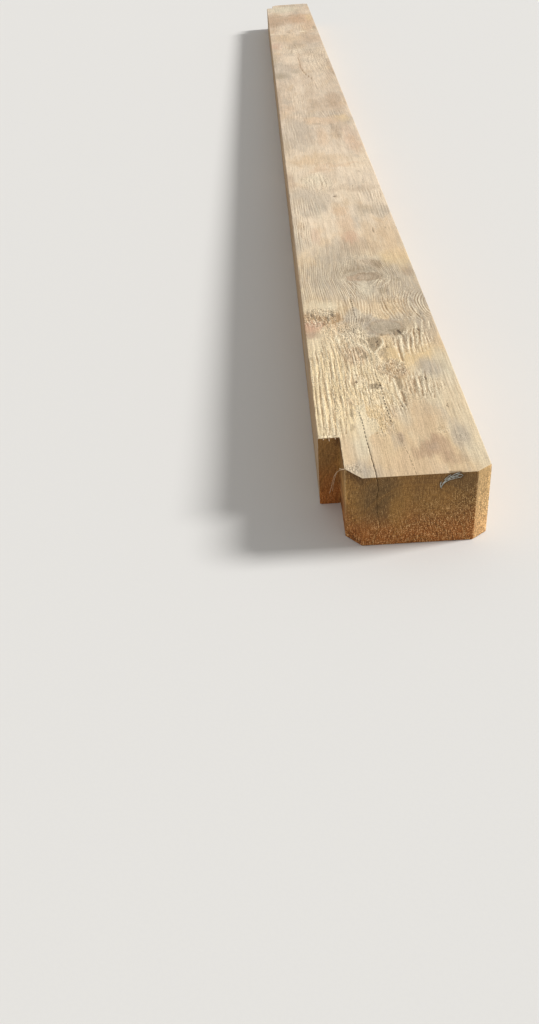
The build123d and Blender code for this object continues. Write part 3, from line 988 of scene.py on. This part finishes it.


# Colours of the timber, as they look in plain daylight, save the end-grain ones, which are darkened in
# part as painted shade
colours = {
    "tan": srgb(219, 192, 153),
    "midTan": srgb(234, 213, 184),
    "farTan": srgb(211, 189, 163),
    "cream": srgb(242, 218, 172),
    "pale": srgb(229, 212, 180),
    "coolPale": srgb(220, 208, 182),
    "bone": srgb(236, 222, 190),
    "dull": srgb(152, 133, 106),
    "blot": srgb(186, 156, 126),
    "orange": srgb(218, 184, 148),
    "farGrey": srgb(202, 186, 165),
    "ridge": srgb(250, 233, 200),
    "yellow": srgb(229, 199, 150),
    "core": srgb(162, 142, 118),
    "warm": srgb(218, 189, 152),
    "rose": srgb(208, 166, 138),
    "browner": srgb(198, 160, 124),
    "farPale": srgb(232, 212, 186),
    "pink": srgb(200, 173, 146),
    "mauve": srgb(186, 163, 137),
    "brown": srgb(182, 149, 111),
    "grey": srgb(182, 166, 142),
    "coolGrey": srgb(187, 174, 155),
    "darkGrey": srgb(158, 141, 120),
    "furrow": srgb(154, 123, 90),
    "speck": srgb(112, 84, 56),
    "crack": srgb(52, 36, 24),
    "side": srgb(189, 157, 119),
    "sideDark": srgb(158, 123, 86),
    "knot": srgb(136, 92, 54),
    # End grain: darker than the face grain, and darker still as painted shade on the end face
    "endGold": srgb(187, 138, 73),
    "endOlive": srgb(146, 108, 62),
    "endRust": srgb(179, 110, 52),
    "endDark": srgb(88, 58, 32),
    "endGrey": srgb(124, 96, 60),
    "endPale": srgb(240, 202, 144),
    "pitch": srgb(138, 139, 130),
    "pitchPaintedGlint": srgb(206, 209, 200),
    "splinter": srgb(200, 160, 128),
}

# Tones that years outdoors have left on the top: middle and half sizes in mm, colour and strength. Those
# marked crisp end sharply, as where a skin of old wood is torn off.
stains = [
    (-68, -1600, 24, 130, "cream", 0.95), (-40, -1590, 24, 90, "cream", 0.75),
    (-5, -1640, 36, 52, "cream", 0.6), (38, -1620, 26, 40, "pale", 0.6), (-70, -1490, 18, 34, "pale", 0.7),
    (-44, -1440, 20, 26, "warm", 0.8), (-15, -1550, 20, 40, "cream", 0.5), (-28, -1522, 14, 28, "browner", 0.8),
    (4, -1545, 12, 30, "pale", 0.5), (20, -1545, 18, 44, "yellow", 0.7), (54, -1535, 30, 34, "yellow", 0.85),
    (14, -1568, 16, 24, "brown", 0.7, "crisp"), (25, -1578, 6, 9, "blot", 0.6),
    (75, -1570, 12, 46, "coolPale", 0.7), (57, -1572, 12, 26, "coolGrey", 0.85),
    (42, -1480, 26, 24, "grey", 0.35), (26, -1612, 12, 30, "brown", 0.4), (-32, -1590, 12, 14, "warm", 0.6),
    (-17, -1682, 12, 34, "yellow", 0.8, "crisp"), (-8, -1690, 4, 26, "brown", 0.4),
    (-45, -1640, 6, 9, "warm", 0.6), (-42, -1785, 20, 24, "coolGrey", 0.8),
    (-45, -1745, 10, 20, "coolPale", 0.5), (-56, -1745, 7, 30, "warm", 0.6), (28, -1690, 24, 36, "warm", 0.75),
    (4, -1672, 6, 16, "pink", 0.5), (12, -1675, 8, 26, "coolPale", 0.5), (8, -1775, 28, 30, "warm", 0.8),
    (32, -1751, 16, 17, "blot", 0.95), (34, -1750, 6, 7, "mauve", 0.5), (50, -1766, 16, 8, "blot", 0.45),
    (64, -1734, 9, 22, "coolGrey", 0.65), (72, -1760, 10, 20, "pale", 0.5), (2, -1727, 4, 9, "mauve", 0.7),
    (20, -1450, 34, 30, "grey", 1), (2, -1462, 9, 14, "coolGrey", 0.7), (-18, -1418, 24, 24, "coolGrey", 0.85),
    (20, -1424, 44, 14, "coolGrey", 0.75), (-4, -1424, 9, 7, "darkGrey", 0.7),
    (-62, -1408, 28, 32, "brown", 1, "crisp"), (-75, -1440, 16, 22, "rose", 0.9),
    (-76, -1463, 12, 10, "mauve", 0.7), (70, -1440, 16, 36, "coolGrey", 0.6), (10, -1365, 40, 24, "warm", 0.4),
    (0, -1275, 100, 80, "coolGrey", 0.85), (72, -1368, 24, 56, "coolGrey", 0.85),
    (-58, -1374, 22, 18, "pale", 0.75), (8, -1258, 40, 34, "grey", 0.85),
    (10, -1274, 27, 17, "core", 0.8, "crisp"), (-1, -1276, 16, 13, "pink", 0.55, "crisp"),
    (2, -1240, 14, 14, "core", 0.5), (33, -1228, 8, 18, "core", 0.85), (20, -1215, 14, 14, "mauve", 0.5),
    (4, -1318, 12, 22, "coolPale", 0.6), (74, -1262, 9, 16, "mauve", 0.75), (64, -1200, 22, 46, "yellow", 0.7),
    (68, -1110, 20, 90, "warm", 0.75), (-20, -1160, 30, 40, "coolGrey", 0.7), (12, -1145, 26, 34, "mauve", 0.6),
    (4, -1050, 14, 80, "orange", 0.6), (6, -1100, 13, 26, "rose", 0.5), (36, -1090, 12, 60, "warm", 0.6),
    (-82, -1070, 8, 100, "coolGrey", 0.7), (-50, -1085, 8, 36, "rose", 0.35), (0, -962, 14, 22, "orange", 0.5),
    (40, -966, 16, 30, "grey", 0.4), (70, -975, 22, 30, "coolGrey", 0.55), (-55, -900, 36, 80, "coolGrey", 0.6),
    (34, -836, 44, 20, "mauve", 0.45), (-32, -775, 28, 40, "coolPale", 0.6), (-80, -770, 10, 60, "blot", 0.5),
    (40, -760, 50, 46, "farPale", 0.7), (-14, -704, 26, 16, "orange", 0.5), (-20, -635, 56, 44, "warm", 0.6),
    (20, -676, 40, 12, "orange", 0.45), (-28, -522, 30, 36, "farPale", 0.6), (-80, -470, 10, 90, "grey", 0.5),
    (-45, -400, 34, 110, "farGrey", 0.8), (3, -440, 12, 80, "orange", 0.45), (64, -480, 16, 110, "rose", 0.3),
    (38, -420, 8, 66, "mauve", 0.6), (8, -290, 36, 40, "orange", 0.5), (62, -290, 16, 40, "yellow", 0.5),
    (-60, -310, 26, 50, "farGrey", 0.6), (20, -232, 50, 26, "farGrey", 0.6), (10, -120, 20, 50, "mauve", 0.45),
    (54, -90, 24, 90, "blot", 0.4), (-82, -60, 8, 160, "mauve", 0.6), (-60, -150, 18, 40, "orange", 0.35),
    (-22, 70, 12, 60, "farPale", 0.8), (30, 90, 60, 90, "farPale", 0.4), (-66, 340, 34, 140, "farGrey", 0.85),
    (-70, 272, 24, 46, "grey", 0.75), (-22, 320, 14, 28, "grey", 0.6), (-6, 450, 8, 140, "blot", 0.6),
    (34, 440, 40, 120, "farPale", 0.5), (-32, 530, 26, 90, "farPale", 0.75), (-80, 520, 8, 120, "grey", 0.5),
    (0, 770, 26, 70, "mauve", 0.5), (50, 740, 26, 120, "farGrey", 0.6), (-70, 780, 18, 60, "rose", 0.45),
    (40, 910, 40, 90, "blot", 0.5), (-30, 930, 50, 90, "warm", 0.5), (-26, 1180, 22, 90, "farPale", 0.6),
    (60, 1180, 26, 140, "orange", 0.55), (-72, 1200, 14, 160, "blot", 0.4), (34, 1370, 52, 120, "browner", 0.7),
    (-58, 1370, 46, 140, "blot", 0.75), (72, 1390, 12, 90, "yellow", 0.5), (-20, 1660, 60, 90, "coolPale", 0.8),
    (30, 1760, 60, 40, "coolGrey", 0.5),
]

# Between which distances along the top its tones change, in mm
distances = {
    "midTan": (-1260.0, -1080.0),
    "farTan": (-700.0, -380.0),
    "farPale": (-1260.0, -1000.0),
    "clouds": (-1250.0, -700.0),
}
dashLength = 7.5                  # of the drying cracks, which come and go


def newMaterial(name):
    material = bpy.data.materials.new(name)
    material.use_nodes = True
    material.node_tree.nodes.clear()
    return material, Net(material.node_tree)


def objectPoint(net):
    return net.scaled(net.node("ShaderNodeTexCoord", {}, {}, "Object"), 1 / mm)


def attribute(net, name, output="Fac"):
    return net.node("ShaderNodeAttribute", {"attribute_name": name}, {}, output)


# Ends a material. The height is from 0 to 1, and deepest is how much relief that stands for, in mm.
def finishMaterial(net, colour, roughness, height, deepest):
    bump = net.node("ShaderNodeBump", {}, {
        "Height": height, "Distance": deepest * mm, "Strength": 1.0}, "Normal")
    shader = net.node("ShaderNodeBsdfPrincipled", {}, {
        "Base Color": colour, "Roughness": roughness, "Normal": bump, "Specular IOR Level": 0.3}, "BSDF")
    leave = net.tree.nodes.new("ShaderNodeOutputMaterial")
    net.tree.links.new(shader.socket, leave.inputs["Surface"])


def shaded(net, colour, amount):
    return net.vector("MULTIPLY", colour, net.joined(amount, amount, amount))


# What the whole top has: other tans farther off, and broad drifts of pale, grey and warm
def groundColour(net, point, y, edgeNoise):
    broad = net.noise(point, (48.0, 210.0, 48.0), 3.0) + edgeNoise * 0.05
    drift = net.noise(point, (34.0, 110.0, 34.0), 3.0) + edgeNoise * 0.05
    bright = net.painted(colours["pale"], [("farPale", net.rise(y, *distances["farPale"]))])
    colour = net.painted(colours["tan"], [
        (tone, net.rise(y, *distances[tone])) for tone in ("midTan", "farTan")])
    colour = net.blend(colour, bright, net.rise(broad, 0.4, 0.62) * 0.7)
    return net.painted(colour, [
        ("coolGrey", net.rise(drift, 0.54, 0.7) * 0.5),
        ("warm", net.rise(drift, 0.46, 0.3) * 0.5)])


# Lays the stains over it. Noise bends their outlines, those of crisp and narrow ones less.
def stainedColour(net, colour, point, edgeNoise):
    x, y = net.split(point)[:2]
    flat = net.joined(x, y, 0.0)
    place = net.vector("MULTIPLY", point, (1 / 22, 1 / 60, 1 / 22))
    bend = net.node("ShaderNodeTexNoise", {}, {"Vector": place, "Scale": 1.0, "Detail": 3.0}, "Color")
    turn = net.vector("SUBTRACT", bend, (0.5, 0.5, 0.5))
    loose, tight = (net.vector("ADD", flat, net.vector("MULTIPLY", turn, most))
                    for most in ((34.0, 90.0, 0.0), (10.0, 22.0, 0.0)))
    for x0, y0, wide, long, tone, much, *crisp in stains:
        placed = tight if crisp or wide < 15 else loose
        away = net.vector("MULTIPLY", net.vector("SUBTRACT", placed, (x0, y0, 0.0)), (1 / wide, 1 / long, 0.0))
        reach = net.vector("DOT_PRODUCT", away, away, "Value") + edgeNoise
        outer, inner = (1.25, 0.75) if crisp else (2.1, -0.2)
        colour = net.blend(colour, colours[tone], net.rise(reach, outer, inner) * much)
    return colour


# Worn places: late wood stands pale, the soft wood between is brown and crumbles in specks. In part this
# is painted light: painted highlight on the pale crests, painted shade in the brown valleys and dark pits.
def wornColour(net, colour, point, skinOf, veins):
    rough, crumb, crest, torn = (skinOf[key] for key in ("rough", "crumb", "crest", "torn"))
    worn = attribute(net, "worn")
    clumped = net.rise(net.noise(point, (6.0, 14.0, 6.0), 3.0, 0.6), 0.4, 0.6)
    shadedValley = (1 - crest) * rough
    pitted = (1 - torn) * net.larger(crumb * (clumped * 0.6 + 0.4), shadedValley * 0.6)
    # The crests' pale is partly painted highlight, the valleys' brown and the pits' specks partly painted shade
    return net.painted(colour, [
        ("ridge", crest * rough * 0.6),
        ("brown", shadedValley * 0.25),
        ("speck", pitted * 0.5),
        ("ridge", torn * crumb * (1.1 - clumped * 0.5) * 0.5),
        ("brown", skinOf["lateWood"] * (1 - rough) * 0.08),
        ("furrow", net.rise(veins, 0.2, 0.75) * worn * (1 - torn) * 0.35),
        ("ridge", veins * worn * 0.6)])


# The growth lines, which swell and fade along their way, and the knots among them
def grainColour(net, colour, y, field, frayed):
    shown, phase = attribute(net, "shown"), attribute(net, "phase")
    along = net.math("SQRT", net.larger(y - nearEnd + 100.0, 1.0)) * 1.3
    place = net.joined(phase, along, 0.0)
    elsewhere = net.vector("ADD", place, (40.0, 9.0, 0.0))
    paler = net.rise(net.noise(place, (1.3, 1.6, 1.0), 2.0), 0.38, 0.62) * shown
    darker = net.rise(net.noise(elsewhere, (1.3, 1.2, 1.0), 2.0), 0.36, 0.6) * shown
    wave = net.math("SINE", (phase + frayed * 0.22) * 2 * math.pi)
    colour = net.painted(colour, [
        ("ridge", net.rise(wave, 0.1, 0.8) * paler * 0.65),
        ("furrow", net.rise(wave, -0.4, -0.9) * darker * 0.75)])
    return net.blend(colour, net.blend(colours["knot"], colours["grey"], field["greyed"]), field["shown"])


# The patches, lines and marks of the tables, with frayed edges, and the drying cracks as rows of dashes
def linesColour(net, colour, point, y, frayed):
    aside = net.math("ABSOLUTE", attribute(net, "crackAside") + frayed * 0.5)
    turned = y * (2 * math.pi / dashLength) + net.noise(point, (30.0, 16.0, 30.0), 1.0) * 8.0
    dashes = net.math("SINE", turned)
    split = net.rise(aside, 1.15, 0.5) * net.rise(dashes, -0.8, 0.2) * attribute(net, "crackStrength")
    return net.painted(colour, [
        ("bone", net.rise(attribute(net, "bared") * (frayed * 0.9 + 1), 0.1, 1.0) * 0.5),
        ("dull", net.rise(attribute(net, "dulled") * (frayed * 1.2 + 1), 0.1, 1.0) * 0.8),
        # Crests and lips pale, partly painted highlight; furrows dark, partly painted shade
        ("ridge", net.rise(attribute(net, "raised") + frayed, 0.2, 0.7) * 0.8),
        ("furrow", net.rise(attribute(net, "sunk") + frayed, 0.2, 0.8) * 0.75),
        ("crack", net.rise(attribute(net, "marked") + frayed * 0.4, 0.25, 0.8) * 0.65),
        ("crack", split * 0.75)])


# The weathered top, from its ground tones to its finest lines
def topColour(net, point, field, skinOf, fine, veins):
    y = net.split(point)[1]
    edgeNoise = net.sway(field["moved"], (3.0, 22.0, 3.0), 2.2, 3.0, 0.65)
    frayed = net.sway(point, (1.6, 5.0, 1.6), 1.2, 3.0, 0.65)
    colour = groundColour(net, point, y, edgeNoise)
    colour = stainedColour(net, colour, point, edgeNoise)
    colour = wornColour(net, colour, point, skinOf, veins)
    colour = grainColour(net, colour, y, field, frayed)
    colour = linesColour(net, colour, point, y, frayed)
    streaks = net.sway(field["moved"], (3.6, 70.0, 3.6), 0.5, 3.0, 0.6)
    patches = net.sway(field["moved"], (13.0, 90.0, 13.0), 0.3, 3.0, 0.6)
    clouds = net.sway(point, (34.0, 90.0, 34.0), 0.3, 3.0, 0.6) * net.rise(y, *distances["clouds"])
    # Faint marks of the saw across the grain, where the skin is sound
    sawn = net.sway(point, (60.0, 1.6, 60.0), 0.16) * (1 - skinOf["crumb"])
    return shaded(net, colour, 1.0 + fine + streaks + patches + clouds + sawn)


# The sides and underside, which the sun and rain reach less
def sideColour(net, point, field, skinOf, fine):
    lateWood = skinOf["lateWood"]
    broad = net.noise(point, (60.0, 260.0, 40.0), 3.0)
    greyer = net.noise(point, (45.0, 170.0, 30.0), 2.0)
    colour = net.painted(colours["side"], [
        ("warm", net.rise(broad, 0.35, 0.7) * 0.7),
        ("sideDark", lateWood * 0.45),
        ("grey", net.rise(greyer, 0.45, 0.7) * 0.55),
        ("knot", field["knot"] * (0.9 - lateWood * 0.4))])
    return shaded(net, colour, 1.0 + fine + net.sway(field["moved"], (3.6, 90.0, 3.6), 0.25, 3.0, 0.6))


def makeLongMaterial():
    material, net = newMaterial("weathered timber")
    point = objectPoint(net)
    field = growthField(net, point)
    skinOf = weathering(net, point, field)
    fibres = net.noise(point, (1.5, 30.0, 1.5), 4.0, 0.65)
    grit = net.noise(point, (1.25, 2.6, 1.25), 2.0, 0.6)
    branching = net.math("ABSOLUTE", net.noise(point, (8.0, 30.0, 8.0), 1.5, 0.5) - 0.5)
    veins = net.rise(branching, 0.03, 0.008)
    top = net.rise(net.split(attribute(net, "outward", "Vector"))[2], 0.35, 0.75)
    worn = attribute(net, "worn")
    fine = (fibres - 0.5) * (0.55 + worn * 1.1) + (grit - 0.5) * (0.6 + worn * 2.8)
    weathered = topColour(net, point, field, skinOf, fine, veins)
    fresher = sideColour(net, point, field, skinOf, fine)
    # Then the open check, and a painted highlight along the edges of the notch's cheek
    colour = net.painted(net.blend(fresher, weathered, top), [
        ("crack", attribute(net, "opened") * 0.92), ("ridge", attribute(net, "paintedEdgeHighlight") * fibres)])
    height = fibres * (0.7 + worn) + grit * (0.3 + worn * 1.4) + veins * worn * 0.8
    finishMaterial(net, colour, 0.78 + fibres * 0.12, height, 0.5)
    return material


# Broad tones of the sawn end: middle, half sizes (x and z, in mm), colour and strength
endTones = [
    (-54, 84, 15, 12, "endDark", 0.8), (-54, 54, 11, 26, "endGold", 0.7), (-28, 62, 24, 34, "endGrey", 0.85),
    (-8, 48, 11, 34, "endGold", 0.4), (28, 52, 26, 20, "endGold", 0.35), (60, 76, 22, 16, "endGrey", 0.6),
    (2, 66, 7, 12, "endGold", 0.25), (-12, 42, 7, 14, "endGold", 0.3), (-20, 72, 12, 14, "endGrey", 0.5),
]

endFace = {
    "rustBelow": 62.0,            # height at which the foot starts to redden
    # Beyond it the shoulder of the notch gets painted light and less speckle
    "paleFrom": 3.0,              # how far to the right of the cheek the pale corner starts
    "scoreWidth": 1.6,            # of the upright marks of the blade
}


# Sawn end grain: rings seen end on, torn fibres and the upright marks of the blade. Its tones carry painted
# shade as well, and the right chamfer is painted paler as the lit side.
def makeEndMaterial():
    material, net = newMaterial("end grain with painted shade")
    point = objectPoint(net)
    field = growthField(net, point, withKnots=False)
    lateWood = lateWoodShare(net, field, 0.4, 0.8)
    x, y, z = net.split(point)
    broad = net.noise(point, (26.0, 200.0, 30.0), 3.0) - 0.5
    colour = net.painted(colours["endOlive"], [
        ("endRust", net.rise(z + broad * 50.0, endFace["rustBelow"], 0.0))])
    for x0, z0, wide, high, tone, much in endTones:
        offX, offZ = (x - x0) / wide, (z - z0) / high
        reach = offX * offX + offZ * offZ + broad * 3.0
        colour = net.blend(colour, colours[tone], net.rise(reach, 1.8, 0.0) * much)
    rings = net.noise(net.joined(field["radial"], 0.0, 0.0), (9.0, 1.0, 1.0), 2.0)
    torn = net.noise(point, (0.95, 30.0, 1.25), 2.0, 0.7)
    upright = net.noise(point, (1.3, 30.0, 6.5), 2.0, 0.6)
    dots = torn * 0.6 + upright * 0.4
    # The speckle is coarser towards the lower right, where the saw tore more
    besideNotch = net.rise(x, cheek + endFace["paleFrom"], cheek - endFace["paleFrom"])
    coarse = net.rise(x * 0.35 - z + broad * 50.0, -62.0, -8.0) * 0.8 + 0.2
    coarse = coarse * (1 - besideNotch * 0.6)
    chamfer = right - skin["chamferAcross"]
    colour = net.painted(colour, [
        ("endGold", net.rise(rings, 0.48, 0.66) * 0.22),
        ("endDark", lateWood * net.rise(rings, 0.4, 0.6) * 0.26),
        ("endDark", net.rise(dots, 0.485, 0.42) * coarse * 0.8),
        ("endPale", net.rise(dots, 0.53, 0.6) * coarse * 0.75),
        # The right chamfer paler: painted light on its lit side, against the painted shade of the end
        ("endPale", net.rise(x, chamfer - 0.5, chamfer + 1.0) * 0.45)])
    blade = net.sway(point, (endFace["scoreWidth"], 30.0, 50.0), 0.3, 2.0, 0.6)
    # Painted light: the shoulder of the notch, shaded in its recess, is made lighter, more towards its top
    paintedShoulderLight = besideNotch * (net.rise(z, 30.0, 80.0) * 0.12 + 0.14)
    amount = 0.97 + paintedShoulderLight + blade + (upright - 0.5) * 1.1 + (torn - 0.5) * (1.0 + coarse * 1.2)
    colour = net.painted(shaded(net, colour, amount), [
        ("crack", net.rise(attribute(net, "opened") + (torn - 0.5) * 1.4, 0.25, 0.8) * 0.85),
        # Painted shadow beside the streak of pitch
        ("crack", attribute(net, "pitchShadow") * 0.65),
        # A painted highlight down the cheek's corner
        ("endPale", attribute(net, "paintedEdgeHighlight") * torn * net.rise(z, 5.0, 60.0) * 0.9)])
    finishMaterial(net, colour, 0.85 + torn * 0.08, torn * 0.7 + upright * 0.3, 1.0)
    return material


# Thin strands drawn along points in mm, each with its thickness: loose splinters at the notch corner, and a
# streak of dried pitch on the end face. They run from inside the timber and keep within its box.
strands = {
    "sides": 7.0,
    "taper": 0.5,                 # how thin the tip is
    "resting": 2.5,               # spacing of the points along them
}
splinters = [
    (0.2, [(-60.5, -1778, 82), (-63, -1778.5, 82.4), (-67, -1777.5, 80.6), (-70.6, -1776.5, 76.4),
        (-72.6, -1776, 70.4), (-74.2, -1776, 63.6), (-75.6, -1776, 57.8), (-76.8, -1776, 52.6)]),
    (0.16, [(-69, -1777, 79.2), (-70.8, -1775.5, 72), (-73, -1775, 61), (-73.6, -1774.5, 54)]),
    (0.3, [(-60.5, -1780, 83.6), (-64, -1781, 84.4), (-67, -1780, 84.3), (-65.5, -1778, 83.6)]),
    (0.4, [(-66, -1722, 84.2), (-66.6, -1718.5, 84.3), (-67.2, -1714, 83.6)]),
    (0.36, [(-79, -1721.6, 83.8), (-78.4, -1718, 84.4), (-78, -1712, 83.7)]),
    (0.36, [(-72.6, -1722.4, 82.6), (-73, -1720, 84.3), (-73.4, -1715, 83.8)]),
]
pitchStreak = [
    (0.56, [(33, -1799.2, 68.6), (35.2, -1799.3, 72.4), (38.6, -1799.3, 75.2), (42.8, -1799.3, 76.8),
        (47.2, -1799.3, 77.8), (52.8, -1799.3, 79)]),
    (0.56, [(34, -1799.2, 71.6), (36.6, -1799.3, 75.2), (40, -1799.3, 78.4), (43.6, -1799.3, 81),
        (47, -1799.3, 83), (50.8, -1799.3, 83.6)]),
    (0.56, [(39.6, -1799.2, 76.8), (43.4, -1799.3, 79.2), (47.2, -1799.3, 80.8), (51, -1799.3, 82),
        (53.6, -1799.3, 81.4), (53.8, -1799.3, 79.8)]),
    (0.5, [(32.8, -1799.2, 74.4), (32, -1799.3, 71.4), (32.4, -1799.3, 68.2), (33.6, -1799.3, 66.4)]),
    (0.5, [(43.6, -1799.2, 78.2), (46.6, -1799.3, 79.4), (49.6, -1799.3, 80)]),
    (0.5, [(36, -1799.2, 76.6), (38.8, -1799.3, 79.8), (42.4, -1799.3, 82.2)]),
]


# A strand grows from a chain of points: a round profile swept along the smoothed chain
def strandTree(name, material):
    net, inputs = geometryTree(name, strands)
    curve = net.node("GeometryNodeMeshToCurve", {}, {"Mesh": inputs["Geometry"]})
    smooth = net.node("GeometryNodeCurveSplineType", {"spline_type": "CATMULL_ROM"}, {"Curve": curve})
    evened = net.node("GeometryNodeResampleCurve", {"mode": "LENGTH"}, {
        "Curve": smooth, "Length": inputs["resting"] * mm})
    toTip = net.node("GeometryNodeSplineParameter", {}, {}, "Factor")
    lumps = net.noise(ownPoint(net), (3.0, 3.0, 3.0)) * 0.5 + 0.75
    radius = named(net, "thick") * (1 - toTip * inputs["taper"]) * lumps * mm
    profile = net.node("GeometryNodeCurvePrimitiveCircle", {"mode": "RADIUS"}, {
        "Resolution": inputs["sides"], "Radius": 1.0})
    swept = net.node("GeometryNodeCurveToMesh", {}, {
        "Curve": evened, "Profile Curve": profile, "Scale": radius, "Fill Caps": True})
    return endTree(net, swept, [(material, True)])


def makeStrands(name, lines, material):
    points, edges, thicks = [], [], []
    for thick, line in lines:
        first = len(points)
        edges += [(first + i, first + i + 1) for i in range(len(line) - 1)]
        thicks += [thick] * len(line)
        points += line
    mesh = bpy.data.meshes.new(name)
    mesh.from_pydata((np.array(points) * mm).tolist(), edges, [])
    addAttribute(mesh, "thick", thicks)
    piece = grown(mesh, name, strandTree(name, material), strands)
    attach(piece, "root")
    print(name + ":", len(piece.data.polygons), "faces")


# Split wood, pale and dry
def makeSplinterMaterial():
    material, net = newMaterial("loose splinter")
    grain = net.noise(objectPoint(net), (1.0, 1.0, 6.0), 3.0)
    colour = shaded(net, net.painted(colours["splinter"], [("ridge", grain)]), 0.75 + grain * 0.5)
    finishMaterial(net, colour, 0.6 + grain * 0.2, grain, 0.1)
    return material


# Dried pitch, grey and glassy, with pale glints painted in as highlights
def makePitchMaterial():
    material, net = newMaterial("dried pitch")
    cloudy = net.noise(objectPoint(net), (1.6, 3.0, 1.3), 3.0, 0.7)
    colour = net.painted(colours["pitch"], [
        ("pitchPaintedGlint", net.rise(cloudy, 0.38, 0.52)), ("crack", net.rise(cloudy, 0.4, 0.32) * 0.85)])
    finishMaterial(net, colour, 0.2 + cloudy * 0.3, cloudy, 0.4)
    return material


# Plain floor and soft light, so that the piece shows by itself
studio = {
    "floorSize": 60.0,
    "floorColour": srgb(232, 230, 226),
    "sunStrength": 3.3,
    "sunSpread": 14.0,            # degrees across, for soft shadows
    "sunFrom": (0.95, 0.10, 0.62),
    "skyColour": (1.0, 0.995, 0.985, 1.0),
    "skyStrength": 0.40,
    "backdrop": 0.78,             # strength of the sky as the camera sees it
}


def makeFloor():
    half = studio["floorSize"] / 2
    corners = [(-half, -half, 0), (half, -half, 0), (half, half, 0), (-half, half, 0)]
    mesh = bpy.data.meshes.new("floor")
    mesh.from_pydata(corners, [], [(0, 1, 2, 3)])
    material, net = newMaterial("pale floor")
    fleck = net.noise(objectPoint(net), (3.0, 3.0, 3.0), 2.0)
    finishMaterial(net, shaded(net, studio["floorColour"][:3], 0.99 + fleck * 0.02), 0.9, fleck, 0.02)
    mesh.materials.append(material)
    floor = bpy.data.objects.new("floor", mesh)
    bpy.context.collection.objects.link(floor)


def makeLight():
    sun = bpy.data.objects.new("window light", bpy.data.lights.new("window light", "SUN"))
    sun.data.energy = studio["sunStrength"]
    sun.data.angle = math.radians(studio["sunSpread"])
    sun.rotation_euler = Vector(studio["sunFrom"]).to_track_quat("Z", "Y").to_euler()
    bpy.context.collection.objects.link(sun)
    world = bpy.data.worlds.new("sky")
    world.use_nodes = True
    background = world.node_tree.nodes["Background"]
    net = Net(world.node_tree)
    rays = [net.node("ShaderNodeLightPath", {}, {}, kind) for kind in ("Is Camera Ray", "Is Glossy Ray")]
    strength = studio["skyStrength"] + net.larger(*rays) * (studio["backdrop"] - studio["skyStrength"])
    background.inputs["Color"].default_value = studio["skyColour"]
    world.node_tree.links.new(strength.socket, background.inputs["Strength"])
    bpy.context.scene.world = world
    bpy.context.scene.view_settings.view_transform = "Standard"


def makeBeam():
    endGrainAndShadeMaterial, longMaterial = makeEndMaterial(), makeLongMaterial()
    beam = grown(beamSkin(), "timberBeam", reliefTree(longMaterial, endGrainAndShadeMaterial), relief)
    beam.data.shade_smooth()
    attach(beam, "root")
    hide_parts("timber_beam")
    print("beam: weathered,", len(beam.data.polygons), "faces")


makeCamera()
print("camera: placed")
makeLight()
makeFloor()
print("studio: lit")
makeBeam()
makeStrands("looseSplinters", splinters, makeSplinterMaterial())
makeStrands("pitchStreak", pitchStreak, makePitchMaterial())
